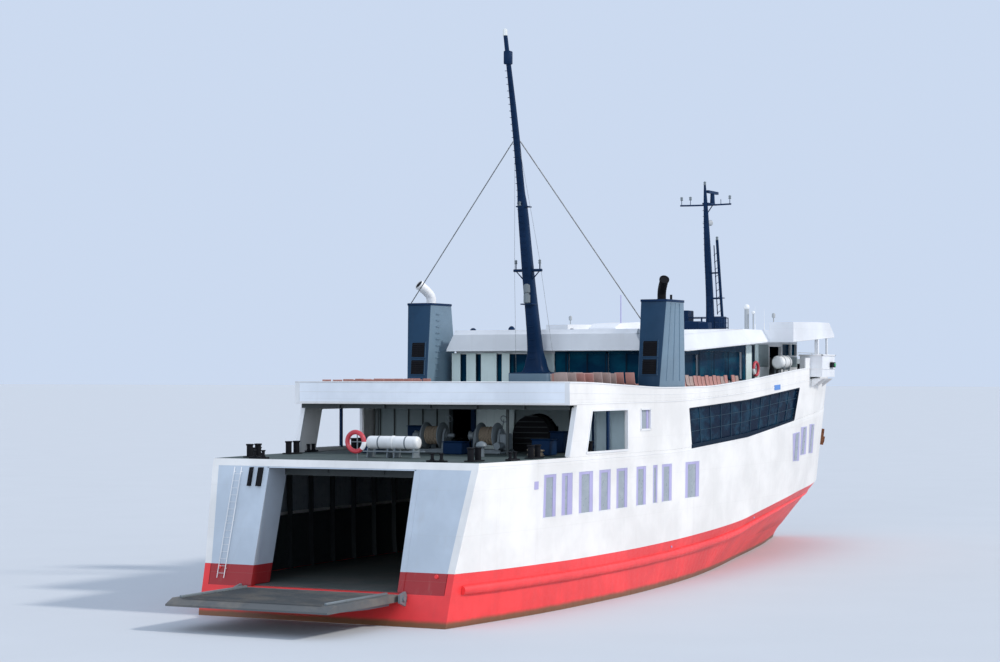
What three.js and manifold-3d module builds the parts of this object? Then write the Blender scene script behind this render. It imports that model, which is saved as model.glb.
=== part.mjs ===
// Passenger and vehicle ferry, 1:2 scale model of a 56.8 m twin-screw ship.
// Frame: millimetres, +X to the bow, +Y to port, +Z up, origin amidships on
// the centreline at the waterline. Sizes below are the real ship's metres;
// K turns them into model millimetres.
import * as THREE from 'three';
import { mergeVertices } from 'three/addons/utils/BufferGeometryUtils.js';
import Module from 'manifold-3d';

const wasm = await Module();
wasm.setup();

// ---------------------------------------------------------------- sizes (m)
const SCALE = 1 / 2;
const K = 1000 * SCALE;          // model millimetres for one real metre
const MID = 28.0;                // station at the origin, counted from the transom
const GAP = 0.001;               // 0.5 mm in the model between touching pieces

const TRANSOM_RAKE = 0.292;      // forward metres for each metre of height
const TRANSOM_Z0 = 2.15;         // height where the transom crosses station 0
const CAR_DECK_Z = 1.3;          // vehicle deck above the water
const DECK2_Z = 6.65;            // mooring and saloon deck, top face aft
const DECK2_T = 0.30;
const DECK3_Z = 9.05;            // upper deck, top face aft
const DECK3_T = 0.10;
const DECK3_SHEER = 0.75;        // share of the lower decks' sheer
const SHELL_T = 0.30;            // side shell with its frames
const BULWARK_T = 0.14;
const UPPER_AFT = 8.9;           // aft edge of the upper deck
const COLLISION_BHD = 42.0;      // fore end of the vehicle deck
const SALOON_AFT = 16.0;         // aft bulkhead of the saloon
const SIDE_END = 44.0;           // where the side walls meet the bow shell

const STERN_DOOR_HALF = 3.6;     // half width of the stern opening
const RAMP = { half: 3.8, length: 5.6, t: 0.30, hingeS: -0.56, hingeZ: 1.15 };

const HOUSE = { aft: 21.8, fore: 37.4, half: 5.4, t: 0.12 };
const ROOF = { aft: 20.9, step: 23.5, fore: 37.09, halfAft: 5.5, half: 6.2, z: 11.5, rise: 0.05, t: 0.85, edge: 0.4 };
const WHEEL = { aft: 37.5, fore: 44.0, half: 5.4, t: 0.12 };
const WROOF = { aft: 37.1, flat: 41.0, brow: 43.3, fore: 44.2, half: 7.6, inner: 6.2, mid: 12.8, top: 13.3, tip: 12.62 };
const WING = { aft: 41.3, fore: 43.5, inner: 6.5, outer: 7.85, top: 11.4, t: 0.12 };

const FUNNEL = { inner: 5.83, outer: 6.97, outerTop: 7.2, baseAft: 19.35, baseFore: 22.8, topAft: 19.85, topFore: 22.05, top: 13.95 };
const MAST = { top: 27.0, topS: 16.7, stayZ: 21.9, barZ: 15.5 };
const FOREMAST = { s: 43.0, u: 0.35, topS: 42.3, top: 21.5, yardZ: 20.3, yardHalf: 1.6 };
const RADAR = { s: 43.4, shelfZ: 20.45, z: 21.05, half: 0.8 };

const PROP = { s: 4.0, u: 2.9, z: -1.75, r: 0.74, blades: 4 };
const RUDDER = { s: 2.75, u: 2.9, chord: 1.25, ahead: 0.4, low: -2.45, high: -1.1, t: 0.2 };

// -------------------------------------------------- the hull's station table
// columns: s station; zk keel height; bf half-breadth of the flat bottom;
// zb, bb bilge height and half-breadth; bw at the waterline; zr, br height and
// half-breadth of the red and white line; b2 at the second deck; b3 at the
// upper deck; sh sheer of the second deck; zu top of the upper bulwark;
// wt, wb share of the transom's and the stem's rake taken by the station
const STATIONS = [
  // s     zk     bf    zb     bb    bw    zr    br    b2    b3    sh    zu     wt   wb
  [0.0, -0.45, 4.60, -0.30, 5.40, 6.00, 2.18, 6.10, 6.55, 6.70, 0.00, 9.98, 1.0, 0.0],
  [3.0, -0.75, 4.90, -0.45, 5.90, 6.45, 2.16, 6.60, 6.80, 6.90, 0.00, 9.98, 0.45, 0.0],
  [6.0, -1.15, 5.10, -0.65, 6.30, 6.80, 2.15, 6.90, 7.00, 7.04, 0.00, 9.98, 0.10, 0.0],
  [10.0, -1.75, 5.20, -0.95, 6.60, 7.00, 2.13, 7.10, 7.15, 7.15, 0.00, 9.95, 0.0, 0.0],
  [15.0, -2.35, 5.20, -1.30, 6.60, 7.05, 2.14, 7.15, 7.20, 7.20, 0.00, 9.80, 0.0, 0.0],
  [20.0, -2.60, 4.90, -1.50, 6.20, 6.80, 2.21, 7.15, 7.20, 7.20, 0.00, 9.67, 0.0, 0.0],
  [25.0, -2.60, 4.40, -1.50, 5.60, 6.30, 2.36, 7.12, 7.20, 7.20, 0.15, 9.70, 0.0, 0.0],
  [30.0, -2.60, 3.60, -1.50, 4.70, 5.50, 2.61, 7.05, 7.20, 7.20, 0.43, 9.94, 0.0, 0.0],
  [34.0, -2.60, 2.80, -1.50, 3.85, 4.70, 3.00, 6.91, 7.20, 7.20, 0.72, 10.20, 0.0, 0.0],
  [38.0, -2.60, 2.00, -1.50, 3.00, 3.85, 3.38, 6.70, 7.15, 7.20, 1.06, 10.50, 0.0, 0.0],
  [42.0, -2.60, 1.35, -1.50, 2.20, 3.05, 3.68, 6.28, 6.90, 7.10, 1.38, 10.72, 0.0, 0.0],
  [46.0, -2.60, 0.85, -1.50, 1.50, 2.20, 3.85, 5.63, 6.25, 6.50, 1.65, 10.88, 0.0, 0.0],
  [49.5, -2.50, 0.50, -1.45, 0.95, 1.50, 3.96, 4.70, 5.15, 5.32, 1.85, 11.02, 0.0, 0.25],
  [52.5, -2.30, 0.30, -1.40, 0.55, 0.85, 4.05, 3.45, 3.90, 4.10, 1.97, 11.14, 0.0, 0.55],
  [54.8, -2.10, 0.15, -1.30, 0.25, 0.42, 4.11, 2.04, 2.40, 2.60, 2.05, 11.24, 0.0, 0.85],
  [56.0, -1.90, 0.08, -1.20, 0.10, 0.15, 4.15, 0.42, 0.60, 0.80, 2.10, 11.30, 0.0, 1.0],
];
const COLS = ['s', 'zk', 'bf', 'zb', 'bb', 'bw', 'zr', 'br', 'b2', 'b3', 'sh', 'zu', 'wt', 'wb'];
const STEM_RAKE = { keel: -5.5, bilge: -3.8, wl: -1.7, d1: -0.7, red: -0.2, d2: 0.0, d3: 0.1 };

// windows of the side shell between the vehicle deck and the second deck:
// fore and aft edges (s) and heights (z)
const SIDE_WINDOWS = [
  // aft   fore   low   high
  [6.4, 7.6, 4.10, 6.00], [8.1, 9.2, 4.10, 6.00], [9.8, 11.3, 4.10, 6.00],
  [11.9, 13.2, 4.10, 6.00], [13.8, 15.1, 4.12, 6.00], [16.1, 17.3, 4.12, 6.00],
  [18.1, 18.7, 4.12, 6.00], [19.2, 20.5, 4.15, 6.00], [22.2, 24.1, 4.20, 6.00],
];
// openings of the side above the second deck, as s, z outlines
const SIDE_OPENINGS = [
  [[10.55, 6.80], [15.1, 6.80], [15.1, 8.70], [11.15, 8.70]],       // mooring deck, by the pillar
  [[16.6, 7.70], [17.8, 7.70], [17.8, 8.68], [16.6, 8.68]],         // small window
  [[23.1, 6.80], [30.9, 7.19], [38.5, 7.80], [39.3, 9.55], [30.9, 8.95], [22.75, 8.62]],   // saloon gallery
];
const GALLERY = SIDE_OPENINGS[2];

// ------------------------------------------------------------------ helpers
const r = (v) => Math.round(v * K * 2) / 2;              // to half a model millimetre
const P = (s, u, z) => [r(s - MID), r(-u), r(z)];        // u counts to starboard
const mix = (a, b, t) => a + (b - a) * t;
function row(s) {
  let i = 0;
  while (i < STATIONS.length - 2 && s > STATIONS[i + 1][0]) i++;
  const a = STATIONS[i], b = STATIONS[i + 1];
  const t = (s - a[0]) / (b[0] - a[0]);
  return Object.fromEntries(COLS.map((c, k) => [c, mix(a[k], b[k], t)]));
}
const LEVELS = {
  keel: (q) => [q.bf, q.zk, STEM_RAKE.keel], bilge: (q) => [q.bb, q.zb, STEM_RAKE.bilge],
  wl: (q) => [q.bw, 0, STEM_RAKE.wl],
  d1: (q) => [mix(q.bw, q.br, CAR_DECK_Z / q.zr), CAR_DECK_Z, STEM_RAKE.d1],
  red: (q) => [q.br, q.zr, STEM_RAKE.red],
  d2b: (q) => [q.b2, DECK2_Z - DECK2_T + q.sh, STEM_RAKE.d2], d2t: (q) => [q.b2, DECK2_Z + q.sh, STEM_RAKE.d2],
  d3b: (q) => [q.b3, DECK3_Z - DECK3_T + DECK3_SHEER * q.sh, STEM_RAKE.d3],
  d3t: (q) => [q.b3, DECK3_Z + DECK3_SHEER * q.sh, STEM_RAKE.d3],
  rail: (q) => [q.b3, q.zu, STEM_RAKE.d3],
};
// a point of the moulded surface: station, level name, inset and lift
function at(s, level, inset = 0, lift = 0, side = 1) {
  const q = row(s);
  const [b, z, stem] = LEVELS[level](q);
  const upper = level[0] === 'd' && level[1] === '3' || level === 'rail';
  const shift = (upper ? 0 : TRANSOM_RAKE * (z - TRANSOM_Z0) * q.wt) + stem * q.wb;
  return P(s + shift, side * Math.max(b - inset, 0.02), z + lift);
}
const deckZ = (s) => LEVELS.d3t(row(s))[1];
const deck2Z = (s) => LEVELS.d2t(row(s))[1];
function bottomZ(s) {                                    // keel line at a true station
  const pts = STATIONS.map((c) => [c[0] + TRANSOM_RAKE * (c[1] - TRANSOM_Z0) * c[12] + STEM_RAKE.keel * c[13], c[1]]);
  let i = 0;
  while (i < pts.length - 2 && s > pts[i + 1][0]) i++;
  return mix(pts[i][1], pts[i + 1][1], (s - pts[i][0]) / (pts[i + 1][0] - pts[i][0]));
}
function stationsBetween(a, b) {
  return [a, ...STATIONS.map((c) => c[0]).filter((s) => s > a + 0.05 && s < b - 0.05), b];
}
function closed(pos, idx) {
  const g = new THREE.BufferGeometry();
  g.setAttribute('position', new THREE.BufferAttribute(new Float32Array(pos), 3));
  let v = 0;
  for (let i = 0; i < idx.length; i += 3) {
    const [a, b, c] = [idx[i], idx[i + 1], idx[i + 2]].map((k) => new THREE.Vector3(pos[3 * k], pos[3 * k + 1], pos[3 * k + 2]));
    v += a.dot(b.cross(c));
  }
  if (v < 0) for (let i = 0; i < idx.length; i += 3) [idx[i], idx[i + 1]] = [idx[i + 1], idx[i]];
  g.setIndex(idx);
  return g;
}
// a solid through sections that each have two matching chains of points
function ladder(sections) {
  const n = sections[0].a.length, pos = [], idx = [];
  sections.forEach((q) => [...q.a, ...q.b].forEach((p) => pos.push(...p)));
  const A = (i, k) => i * 2 * n + k, B = (i, k) => i * 2 * n + n + k;
  const quad = (p, q, s, t) => idx.push(p, q, s, p, s, t);
  for (let i = 0; i < sections.length - 1; i++) {
    for (let k = 0; k < n - 1; k++) {
      quad(A(i, k), A(i + 1, k), A(i + 1, k + 1), A(i, k + 1));
      quad(B(i, k + 1), B(i + 1, k + 1), B(i + 1, k), B(i, k));
    }
    quad(A(i, n - 1), A(i + 1, n - 1), B(i + 1, n - 1), B(i, n - 1));
    quad(B(i, 0), B(i + 1, 0), A(i + 1, 0), A(i, 0));
  }
  const e = sections.length - 1;
  for (let k = 0; k < n - 1; k++) {
    quad(A(0, k), A(0, k + 1), B(0, k + 1), B(0, k));
    quad(B(e, k), B(e, k + 1), A(e, k + 1), A(e, k));
  }
  return closed(pos, idx);
}
const hexa = (low, high) => ladder([{ a: [low[0], high[0]], b: [low[1], high[1]] }, { a: [low[3], high[3]], b: [low[2], high[2]] }]);
// box between two corners in s, u, z
const box = (s0, s1, u0, u1, z0, z1) => hexa(
  [P(s0, u0, z0), P(s0, u1, z0), P(s1, u1, z0), P(s1, u0, z0)],
  [P(s0, u0, z1), P(s0, u1, z1), P(s1, u1, z1), P(s1, u0, z1)]);
// prism of an s, z outline between two half-breadths
function prismSZ(outline, u0, u1) {
  const sh = new THREE.Shape(outline.map(([s, z]) => new THREE.Vector2(r(s - MID), r(z))));
  const g = new THREE.ExtrudeGeometry(sh, { depth: r(Math.abs(u1 - u0)), bevelEnabled: false });
  g.rotateX(Math.PI / 2);                                  // z of the outline up, depth to -y
  g.translate(0, r(-Math.min(u0, u1)), 0);
  return g;
}
// round bar between two points in s, u, z
function bar(p, q, rad, rad2 = rad, sides = 8) {
  const a = new THREE.Vector3(...P(...p)), b = new THREE.Vector3(...P(...q));
  const g = new THREE.CylinderGeometry(r(rad2), r(rad), a.distanceTo(b), sides);
  g.applyQuaternion(new THREE.Quaternion().setFromUnitVectors(new THREE.Vector3(0, 1, 0), b.clone().sub(a).normalize()));
  g.translate(...a.clone().add(b).multiplyScalar(0.5).toArray());
  return g;
}
function solid(g) {
  const c = g.clone();
  c.deleteAttribute('normal'); c.deleteAttribute('uv');
  const m = c.index && !g.attributes.normal ? c : mergeVertices(c, 1e-3);
  return new wasm.Manifold(new wasm.Mesh({
    numProp: 3, vertProperties: new Float32Array(m.attributes.position.array), triVerts: new Uint32Array(m.index.array),
  }));
}
function geom(m) {
  const q = m.getMesh(), g = new THREE.BufferGeometry(), pos = new Float32Array(q.numVert * 3);
  for (let i = 0; i < q.numVert; i++) for (let k = 0; k < 3; k++) pos[3 * i + k] = q.vertProperties[i * q.numProp + k];
  g.setAttribute('position', new THREE.BufferAttribute(pos, 3));
  g.setIndex(Array.from(q.triVerts));
  return g;
}
const cut = (g, ...tools) => geom(tools.reduce((m, t) => m.subtract(solid(t)), solid(g)));
const join = (g, ...more) => geom(more.reduce((m, t) => m.add(solid(t)), solid(g)));

// ---------------------------------------------------------------- materials
const COLOURS = {
  red: [0xd8343a, 0.45, 0.0], white: [0xe9edf0, 0.42, 0.0], deck: [0x4c6a5c, 0.8, 0.0],
  blue: [0x2b3d52, 0.45, 0.1], glass: [0x12343c, 0.12, 0.0], pane: [0x8b9c9a, 0.15, 0.0], steel: [0x5d6265, 0.5, 0.7],
  bronze: [0x9c7a3e, 0.35, 0.9], raft: [0xf2f2ee, 0.4, 0.0], rust: [0x6b3b26, 0.8, 0.2],
};
const group = new THREE.Group();
function node(name, geometry, colour) {
  const [c, roughness, metalness] = COLOURS[colour];
  const m = new THREE.Mesh(geometry, new THREE.MeshStandardMaterial({ color: c, roughness, metalness }));
  m.name = name;
  group.add(m);
}
const SIDES = [['starboard', 1], ['port', -1]];

// -------------------------------------------------------------------- hull
// solid under the vehicle deck: keel, bilge, waterline, deck edge
const HULL_LEVELS = ['keel', 'bilge', 'wl', 'd1'];
const body = (s0, s1, levels, inset = 0, lo = 0, hi = 0) => ladder(stationsBetween(s0, s1).map((s) => ({
  a: levels.map((l, k) => at(s, l, inset, k ? (k === levels.length - 1 ? hi : 0) : lo, 1)),
  b: levels.map((l, k) => at(s, l, inset, k ? (k === levels.length - 1 ? hi : 0) : lo, -1)),
})));
node('lower_hull', body(0, 56, HULL_LEVELS), 'red');

// walls of one side between two levels
const wall = (s0, s1, low, high, t, side, lo = GAP, hi = -GAP, in0 = 0) => ladder(stationsBetween(s0, s1).map((s) => ({
  a: [at(s, low, in0, lo, side), at(s, high, in0, hi, side)],
  b: [at(s, low, in0 + t, lo, side), at(s, high, in0 + t, hi, side)],
})));
// red strake of the side, with the rubbing strake standing proud of it
const RUB = { low: -0.88, high: -0.5, out: 0.14, aft: 0.9 };
function strake(side) {
  const f = (s) => (s < RUB.aft ? 0 : 1);
  return ladder([0, RUB.aft - 0.3, ...stationsBetween(RUB.aft, COLLISION_BHD - GAP)].map((s) => {
    const q = row(s), k = (z) => (z - CAR_DECK_Z) / (q.zr - CAR_DECK_Z);
    const low = at(s, 'd1', 0, GAP, side), high = at(s, 'red', 0, -GAP, side);
    const p = (z, out) => low.map((v, i) => Math.round(2 * (mix(v, high[i], k(z)) + (i === 1 ? -side * out * K : 0))) / 2);
    const z0 = Math.max(q.zr + RUB.low, CAR_DECK_Z + 0.06), z1 = q.zr + RUB.high, o = RUB.out * f(s);
    const a = [low, p(z0, 0), p(z0 + 0.06, o), p(z1 - 0.06, o), p(z1, 0), high];
    return { a, b: a.map((v, i) => { const w = [low, p(z0, 0), p(z0 + 0.06, 0), p(z1 - 0.06, 0), p(z1, 0), high][i]; return [w[0], w[1] + side * SHELL_T * K, w[2]]; }) };
  }));
}
// strip of a side between two heights, some way inside the moulded surface
function strip(s0, s1, z0, z1, inset, t, side) {
  const p = (s, i, z) => {
    const low = at(s, 'red', i, 0, side), high = at(s, 'd2b', i, 0, side), k = (r(z) - low[2]) / (high[2] - low[2]);
    return low.map((v, j) => Math.round(2 * mix(v, high[j], k)) / 2);
  };
  return ladder(stationsBetween(s0, s1).map((s) => ({ a: [p(s, inset, z0), p(s, inset, z1)], b: [p(s, inset + t, z0), p(s, inset + t, z1)] })));
}
for (const [name, side] of SIDES) {
  node(`lower_strake_${name}`, strake(side), 'red');
  node(`side_shell_${name}`, cut(wall(0, COLLISION_BHD - GAP, 'red', 'd2b', SHELL_T, side), strip(5.95, 24.65, 3.85, 6.22, 0.08, 0.6, side),
    ...SIDE_WINDOWS.map(([a, b, z0, z1]) => box(a, b, side * 6, side * 8, z0, z1))), 'white');
}
// panes behind the windows, in the recess of the side shell
for (const [name, side] of SIDES) node(`side_glazing_${name}`, strip(6.2, 24.4, 3.95, 6.12, 0.095, 0.05, side), 'pane');
node('bow_lower', body(COLLISION_BHD, 56, ['d1', 'red'], 0, GAP, -GAP), 'red');
node('bow_upper', body(COLLISION_BHD, 56, ['red', 'd2b'], 0, GAP, -GAP), 'white');

// covering of the vehicle deck between the shells
node('vehicle_deck', ladder([0.12, ...stationsBetween(1.5, COLLISION_BHD - 0.1)].map((s) => ({
  a: [at(s, 'd1', SHELL_T + 0.05, GAP, 1), at(s, 'd1', SHELL_T + 0.05, GAP + 0.04, 1)].map((v) => [r(s - MID), v[1], v[2]]),
  b: [at(s, 'd1', SHELL_T + 0.05, GAP, -1), at(s, 'd1', SHELL_T + 0.05, GAP + 0.04, -1)].map((v) => [r(s - MID), v[1], v[2]]),
}))), 'deck');

// transom beside the stern opening, raked forward going up
for (const [name, side] of SIDES) {
  const z0 = CAR_DECK_Z + GAP, z1 = DECK2_Z - DECK2_T - GAP, t = 0.30, clear = 0.02;
  const sT = (z) => TRANSOM_RAKE * (z - TRANSOM_Z0);
  const edge = (s, z) => side * (mix(mix(6.0, 6.1, CAR_DECK_Z / 2.3), 6.55, (z - z0) / (z1 - z0)) + (s > 0 ? 0.045 : 0) - SHELL_T - clear);
  const c = (z) => [P(sT(z), side * STERN_DOOR_HALF, z), P(sT(z), edge(0, z), z), P(sT(z) + t, edge(1, z), z), P(sT(z) + t, side * STERN_DOOR_HALF, z)];
  const zm = 2.30;
  const e = (z) => { const q = c(z); const b = mix(6.0, 6.1, Math.min(z, zm) / 2.3) + (z > zm ? (z - zm) / (z1 - zm) * 0.45 : 0); q[1] = P(sT(z), side * (b - SHELL_T - clear), z); q[2] = P(sT(z) + t, side * (b - SHELL_T - clear), z); return q; };
  const L = [z0, zm, z1].map(e);
  node(`transom_${name}`, ladder([{ a: L.map((q) => q[0]), b: L.map((q) => q[1]) }, { a: L.map((q) => q[3]), b: L.map((q) => q[2]) }]), 'white');
}

// stern ramp, lowered, its axis across the ship at the deck edge
{
  const { half, length, t, hingeS, hingeZ } = RAMP, h = t / 2, o = [];
  for (let i = 0; i <= 6; i++) { const a = -Math.PI / 2 + Math.PI * i / 6; o.push([hingeS + h * Math.cos(a), hingeZ + h * Math.sin(a)]); }
  o.push([hingeS - length + 0.5, hingeZ + h], [hingeS - length, hingeZ - h + 0.08], [hingeS - length, hingeZ - h]);
  node('stern_ramp', prismSZ(o, -half, half), 'steel');
}

// -------------------------------------------------------------------- decks
node('second_deck', body(0, 56, ['d2b', 'd2t']), 'deck');
node('upper_deck', body(UPPER_AFT, 56, ['d3b', 'd3t']), 'deck');

// sides above the second deck: pillar, openings and saloon gallery
for (const [name, side] of SIDES) {
  const pillar = [[5.0, 6.0], [8.56, 6.0], [9.75, 9.3], [5.0, 9.3]];
  const skin = wall(8.2, SIDE_END - GAP, 'd2t', 'd3b', SHELL_T, side);
  node(`upper_side_${name}`, cut(skin, prismSZ(pillar, side * 6, side * 8),
    ...SIDE_OPENINGS.map((o) => prismSZ(o, side * 6, side * 8))), 'white');
  const pane = wall(22.0, 40.0, 'd2t', 'd3b', 0.08, side, GAP, -GAP, 0.1);
  const g = 2 * GAP, [p0, p1, p2, p3, p4, p5] = GALLERY;
  const inner = prismSZ([[p0[0] + g, p0[1] + g], [p1[0], p1[1] + g], [p2[0] - g, p2[1] + g], [p3[0] - 1.5 * g, p3[1] - g], [p4[0], p4[1] - g], [p5[0] + g, p5[1] - g]], side * 6, side * 8);
  node(`gallery_glazing_${name}`, geom(solid(pane).intersect(solid(inner))), 'glass');
}
node('saloon_bow', cut(body(SIDE_END, 56, ['d2t', 'd3b'], 0, GAP, -GAP),
  body(SIDE_END - 1, 55.4, ['d2t', 'd3b'], SHELL_T, -1, 1)), 'white');
{
  const s0 = SALOON_AFT, s1 = SALOON_AFT + 0.2, b = row(s0).b2 - SHELL_T - 0.02;
  const z0 = DECK2_Z + GAP, z1 = DECK3_Z - DECK3_T - GAP;
  node('saloon_aft_bulkhead', cut(box(s0, s1, -b, b, z0, z1), box(s0 - 1, s1 + 1, -2.6, -1.15, z0 + 0.12, z1 - 0.1), box(s0 - 1, s1 + 1, 1.1, 3.2, z0 + 0.12, 7.85), bar([s0 - 1, 2.15, 7.4], [s1 + 1, 2.15, 7.4], 1.05, 1.05, 24)), 'white');
}

// bulwarks of the upper deck
for (const [name, side] of SIDES) {
  node(`upper_bulwark_${name}`, wall(UPPER_AFT, WING.aft - 0.02, 'd3t', 'rail', BULWARK_T, side, GAP, 0), 'white');
}
{
  const b = row(UPPER_AFT).b3 - BULWARK_T - GAP;
  node('aft_bulwark', box(UPPER_AFT, UPPER_AFT + BULWARK_T, -b, b, DECK3_Z + GAP, row(UPPER_AFT).zu), 'white');
}
node('bow_bulwark', cut(body(WING.fore + 0.02, 56, ['d3t', 'rail'], 0, GAP, 0),
  body(WING.fore - 1, 55.6, ['d3t', 'rail'], BULWARK_T, -1, 1)), 'white');

// --------------------------------------------------------------- deckhouses
const roofTop = (s) => Math.min(roofZ(s) + ROOF.t, WROOF.mid);
const roofZ = (s) => ROOF.z + ROOF.rise * Math.max(0, s - 25);
const tube = (frames, half, top, lo, hi) => ladder(frames.map((s) => ({
  a: [P(s, half, deckZ(s) + lo), P(s, half, top(s) + hi)], b: [P(s, -half, deckZ(s) + lo), P(s, -half, top(s) + hi)],
})));
{
  const fr = [HOUSE.aft, 25, 30, 34, HOUSE.fore], t = HOUSE.t;
  const fi = [HOUSE.aft + t, 25, 30, 34, HOUSE.fore - t];
  const panes = [];
  for (const [a, b] of [[22.1, 28.42], [28.58, 34.85]])
    for (const side of [1, -1]) panes.push(box(a, b, side * 5, side * 6, deckZ(b) + 0.4, roofZ(a) - 0.14));
  for (const [a, b] of [[-5.2, -3.2], [-3.08, -1.02], [1.02, 3.08], [3.2, 5.2]])
    panes.push(box(HOUSE.aft - 1, HOUSE.aft + 1, a, b, DECK3_Z + 0.4, ROOF.z - 0.14));
  panes.push(box(HOUSE.aft - 1, HOUSE.aft + 1, -0.9, 0.9, DECK3_Z + 0.2, ROOF.z - 0.14));
  node('deckhouse', cut(tube(fr, HOUSE.half, roofZ, GAP, -GAP), tube(fi, HOUSE.half - t, roofZ, -1, 1), ...panes), 'white');
  // panes inside the walls, along one side and round the corner to the door
  for (const [name, side] of SIDES) {
    const o = HOUSE.half - t - 0.01, i = o - 0.04, s0 = HOUSE.aft + t + 0.01;
    const along = ladder([s0, 25, 30, 35.1].map((s) => ({
      a: [P(s, side * o, deckZ(s) + 0.3), P(s, side * o, roofZ(s) - 0.06)], b: [P(s, side * i, deckZ(s) + 0.3), P(s, side * i, roofZ(s) - 0.06)],
    })));
    node(`deckhouse_glazing_${name}`, join(along, box(s0, s0 + 0.04, side * 0.96, side * o, deckZ(s0) + 0.3, ROOF.z - 0.06)), 'glass');
  }
}
{
  const frames = [[ROOF.aft, ROOF.halfAft], [ROOF.step, ROOF.halfAft], [ROOF.step + 0.1, ROOF.half], [25, ROOF.half], [34, ROOF.half], [ROOF.fore, ROOF.half]];
  const e = ROOF.edge;
  node('deckhouse_roof', ladder(frames.map(([s, h]) => ({
    a: [P(s, h, roofZ(s)), P(s, h, roofZ(s) + 0.1), P(s, h - e, roofTop(s))],
    b: [P(s, -h, roofZ(s)), P(s, -h, roofZ(s) + 0.1), P(s, -(h - e), roofTop(s))],
  }))), 'white');
}
{
  const z = (s) => roofZ(s) + ROOF.t + GAP, s0 = 28.2, s1 = 32.0, h = 0.5;
  node('roof_ventilation_house', ladder([[s0, 1.05, 0.3], [s0 + 0.6, 1.1, h], [s1 - 0.6, 1.1, h], [s1, 1.05, 0.3]].map(([s, w, k]) => ({
    a: [P(s, w, z(s)), P(s, w - 0.3, z(s) + k)], b: [P(s, -w, z(s)), P(s, -(w - 0.3), z(s) + k)] }))), 'white');
}
{
  const fr = [WHEEL.aft, 38, 42, WHEEL.fore], t = WHEEL.t;
  const fi = [WHEEL.aft + t, 38, 42, WHEEL.fore - t];
  const z0 = 11.4, z1 = 12.08, panes = [];
  for (const [a, b] of [[-5.0, -3.5], [-3.2, -1.7], [-1.4, 1.4], [1.7, 3.2], [3.5, 5.0]]) panes.push(box(WHEEL.fore - 1, WHEEL.fore + 1, a, b, z0, z1));
  for (const side of [1, -1]) {
    panes.push(box(42.96, 43.85, side * 5, side * 6, z0, z1));
    panes.push(box(41.36, 42.84, side * 5, side * 6, z0, z1));
    panes.push(box(39.2, 41.1, side * 5, side * 6, deckZ(41.1) + 0.2, 11.9));   // doorway
  }
  node('wheelhouse', cut(tube(fr, WHEEL.half, roofZ, GAP, -GAP), tube(fi, WHEEL.half - t, roofZ, -1, 1), ...panes), 'white');
  const o = WHEEL.half - t - 0.01, i = o - 0.04, s1 = WHEEL.fore - t - 0.01, lo = z0 - 0.08, hi = z1 + 0.1;
  node('wheelhouse_glazing', cut(box(41.22, s1, -o, o, lo, hi), box(41.2, s1 - 0.04, -i, i, lo - 0.1, hi + 0.1)), 'glass');
}
// roof over the wheelhouse, raised over the wings
{
  const { aft, flat, brow, fore, half, inner, top, tip, mid } = WROOF;
  const middle = ladder([[aft, mid], [brow, mid], [fore, mid - 0.12]].map(([s, z]) => ({
    a: [P(s, inner + 0.05, roofZ(s)), P(s, inner + 0.05, z)], b: [P(s, -inner - 0.05, roofZ(s)), P(s, -inner - 0.05, z)] })));
  const raised = [1, -1].map((side) => ladder([[aft, top - 0.08], [flat, top], [brow, top], [fore, tip]].map(([s, z]) => (side > 0
    ? { a: [P(s, half, roofZ(s)), P(s, half, z)], b: [P(s, inner, roofZ(s)), P(s, inner, z)] }
    : { a: [P(s, -inner, roofZ(s)), P(s, -inner, z)], b: [P(s, -half, roofZ(s)), P(s, -half, z)] }))));
  node('wheelhouse_roof', join(middle, ...raised), 'white');
}
// bridge wings: floor, bulwark and roof post, overhanging the ship's side
for (const [name, side] of SIDES) {
  const { aft, fore, inner, outer, top, t } = WING, f0 = deckZ(aft), f1 = deckZ(fore);
  const z0 = f1 + 0.02;
  const shell = box(aft, fore, side * inner, side * outer, z0, top);
  const hollow = box(aft + t, fore - t, side * (inner - 1), side * (outer - t), z0 + 0.12, top + 1);
  const post = bar([fore - 0.5, side * (outer - 0.31), z0 + 0.05], [fore - 0.5, side * (outer - 0.31), roofZ(fore - 0.6) - GAP], 0.07);
  const post2 = box(aft, aft + 0.19, side * (outer - 0.46), side * (outer - 0.25), top - 0.3, roofZ(aft) - GAP);
  node(`bridge_wing_${name}`, join(cut(shell, hollow), post, post2), 'white');
}

// ---------------------------------------------------------- funnels, exhausts
for (const [name, side] of SIDES) {
  const { inner, outer, outerTop, baseAft, baseFore, topAft, topFore, top } = FUNNEL, i = side * inner, o = side * outer, ot = side * outerTop;
  const casing = hexa(
    [P(baseAft, i, deckZ(baseAft) + GAP), P(baseAft, o, deckZ(baseAft) + GAP), P(baseFore, o, deckZ(baseFore) + GAP), P(baseFore, i, deckZ(baseFore) + GAP)],
    [P(topAft, i, top), P(topAft, ot, top), P(topFore, ot, top), P(topFore, i, top)]);
  const rise = bar([21.0, side * 6.45, top - 0.3], [21.0, side * 6.45, top + 0.45], 0.22);
  const bend = bar([21.1, side * 6.38, top + 0.27], [20.4, side * 6.84, top + 1.0], 0.22, 0.25);
  node(`funnel_${name}`, join(casing, rise, bend), 'blue');
}

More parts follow.
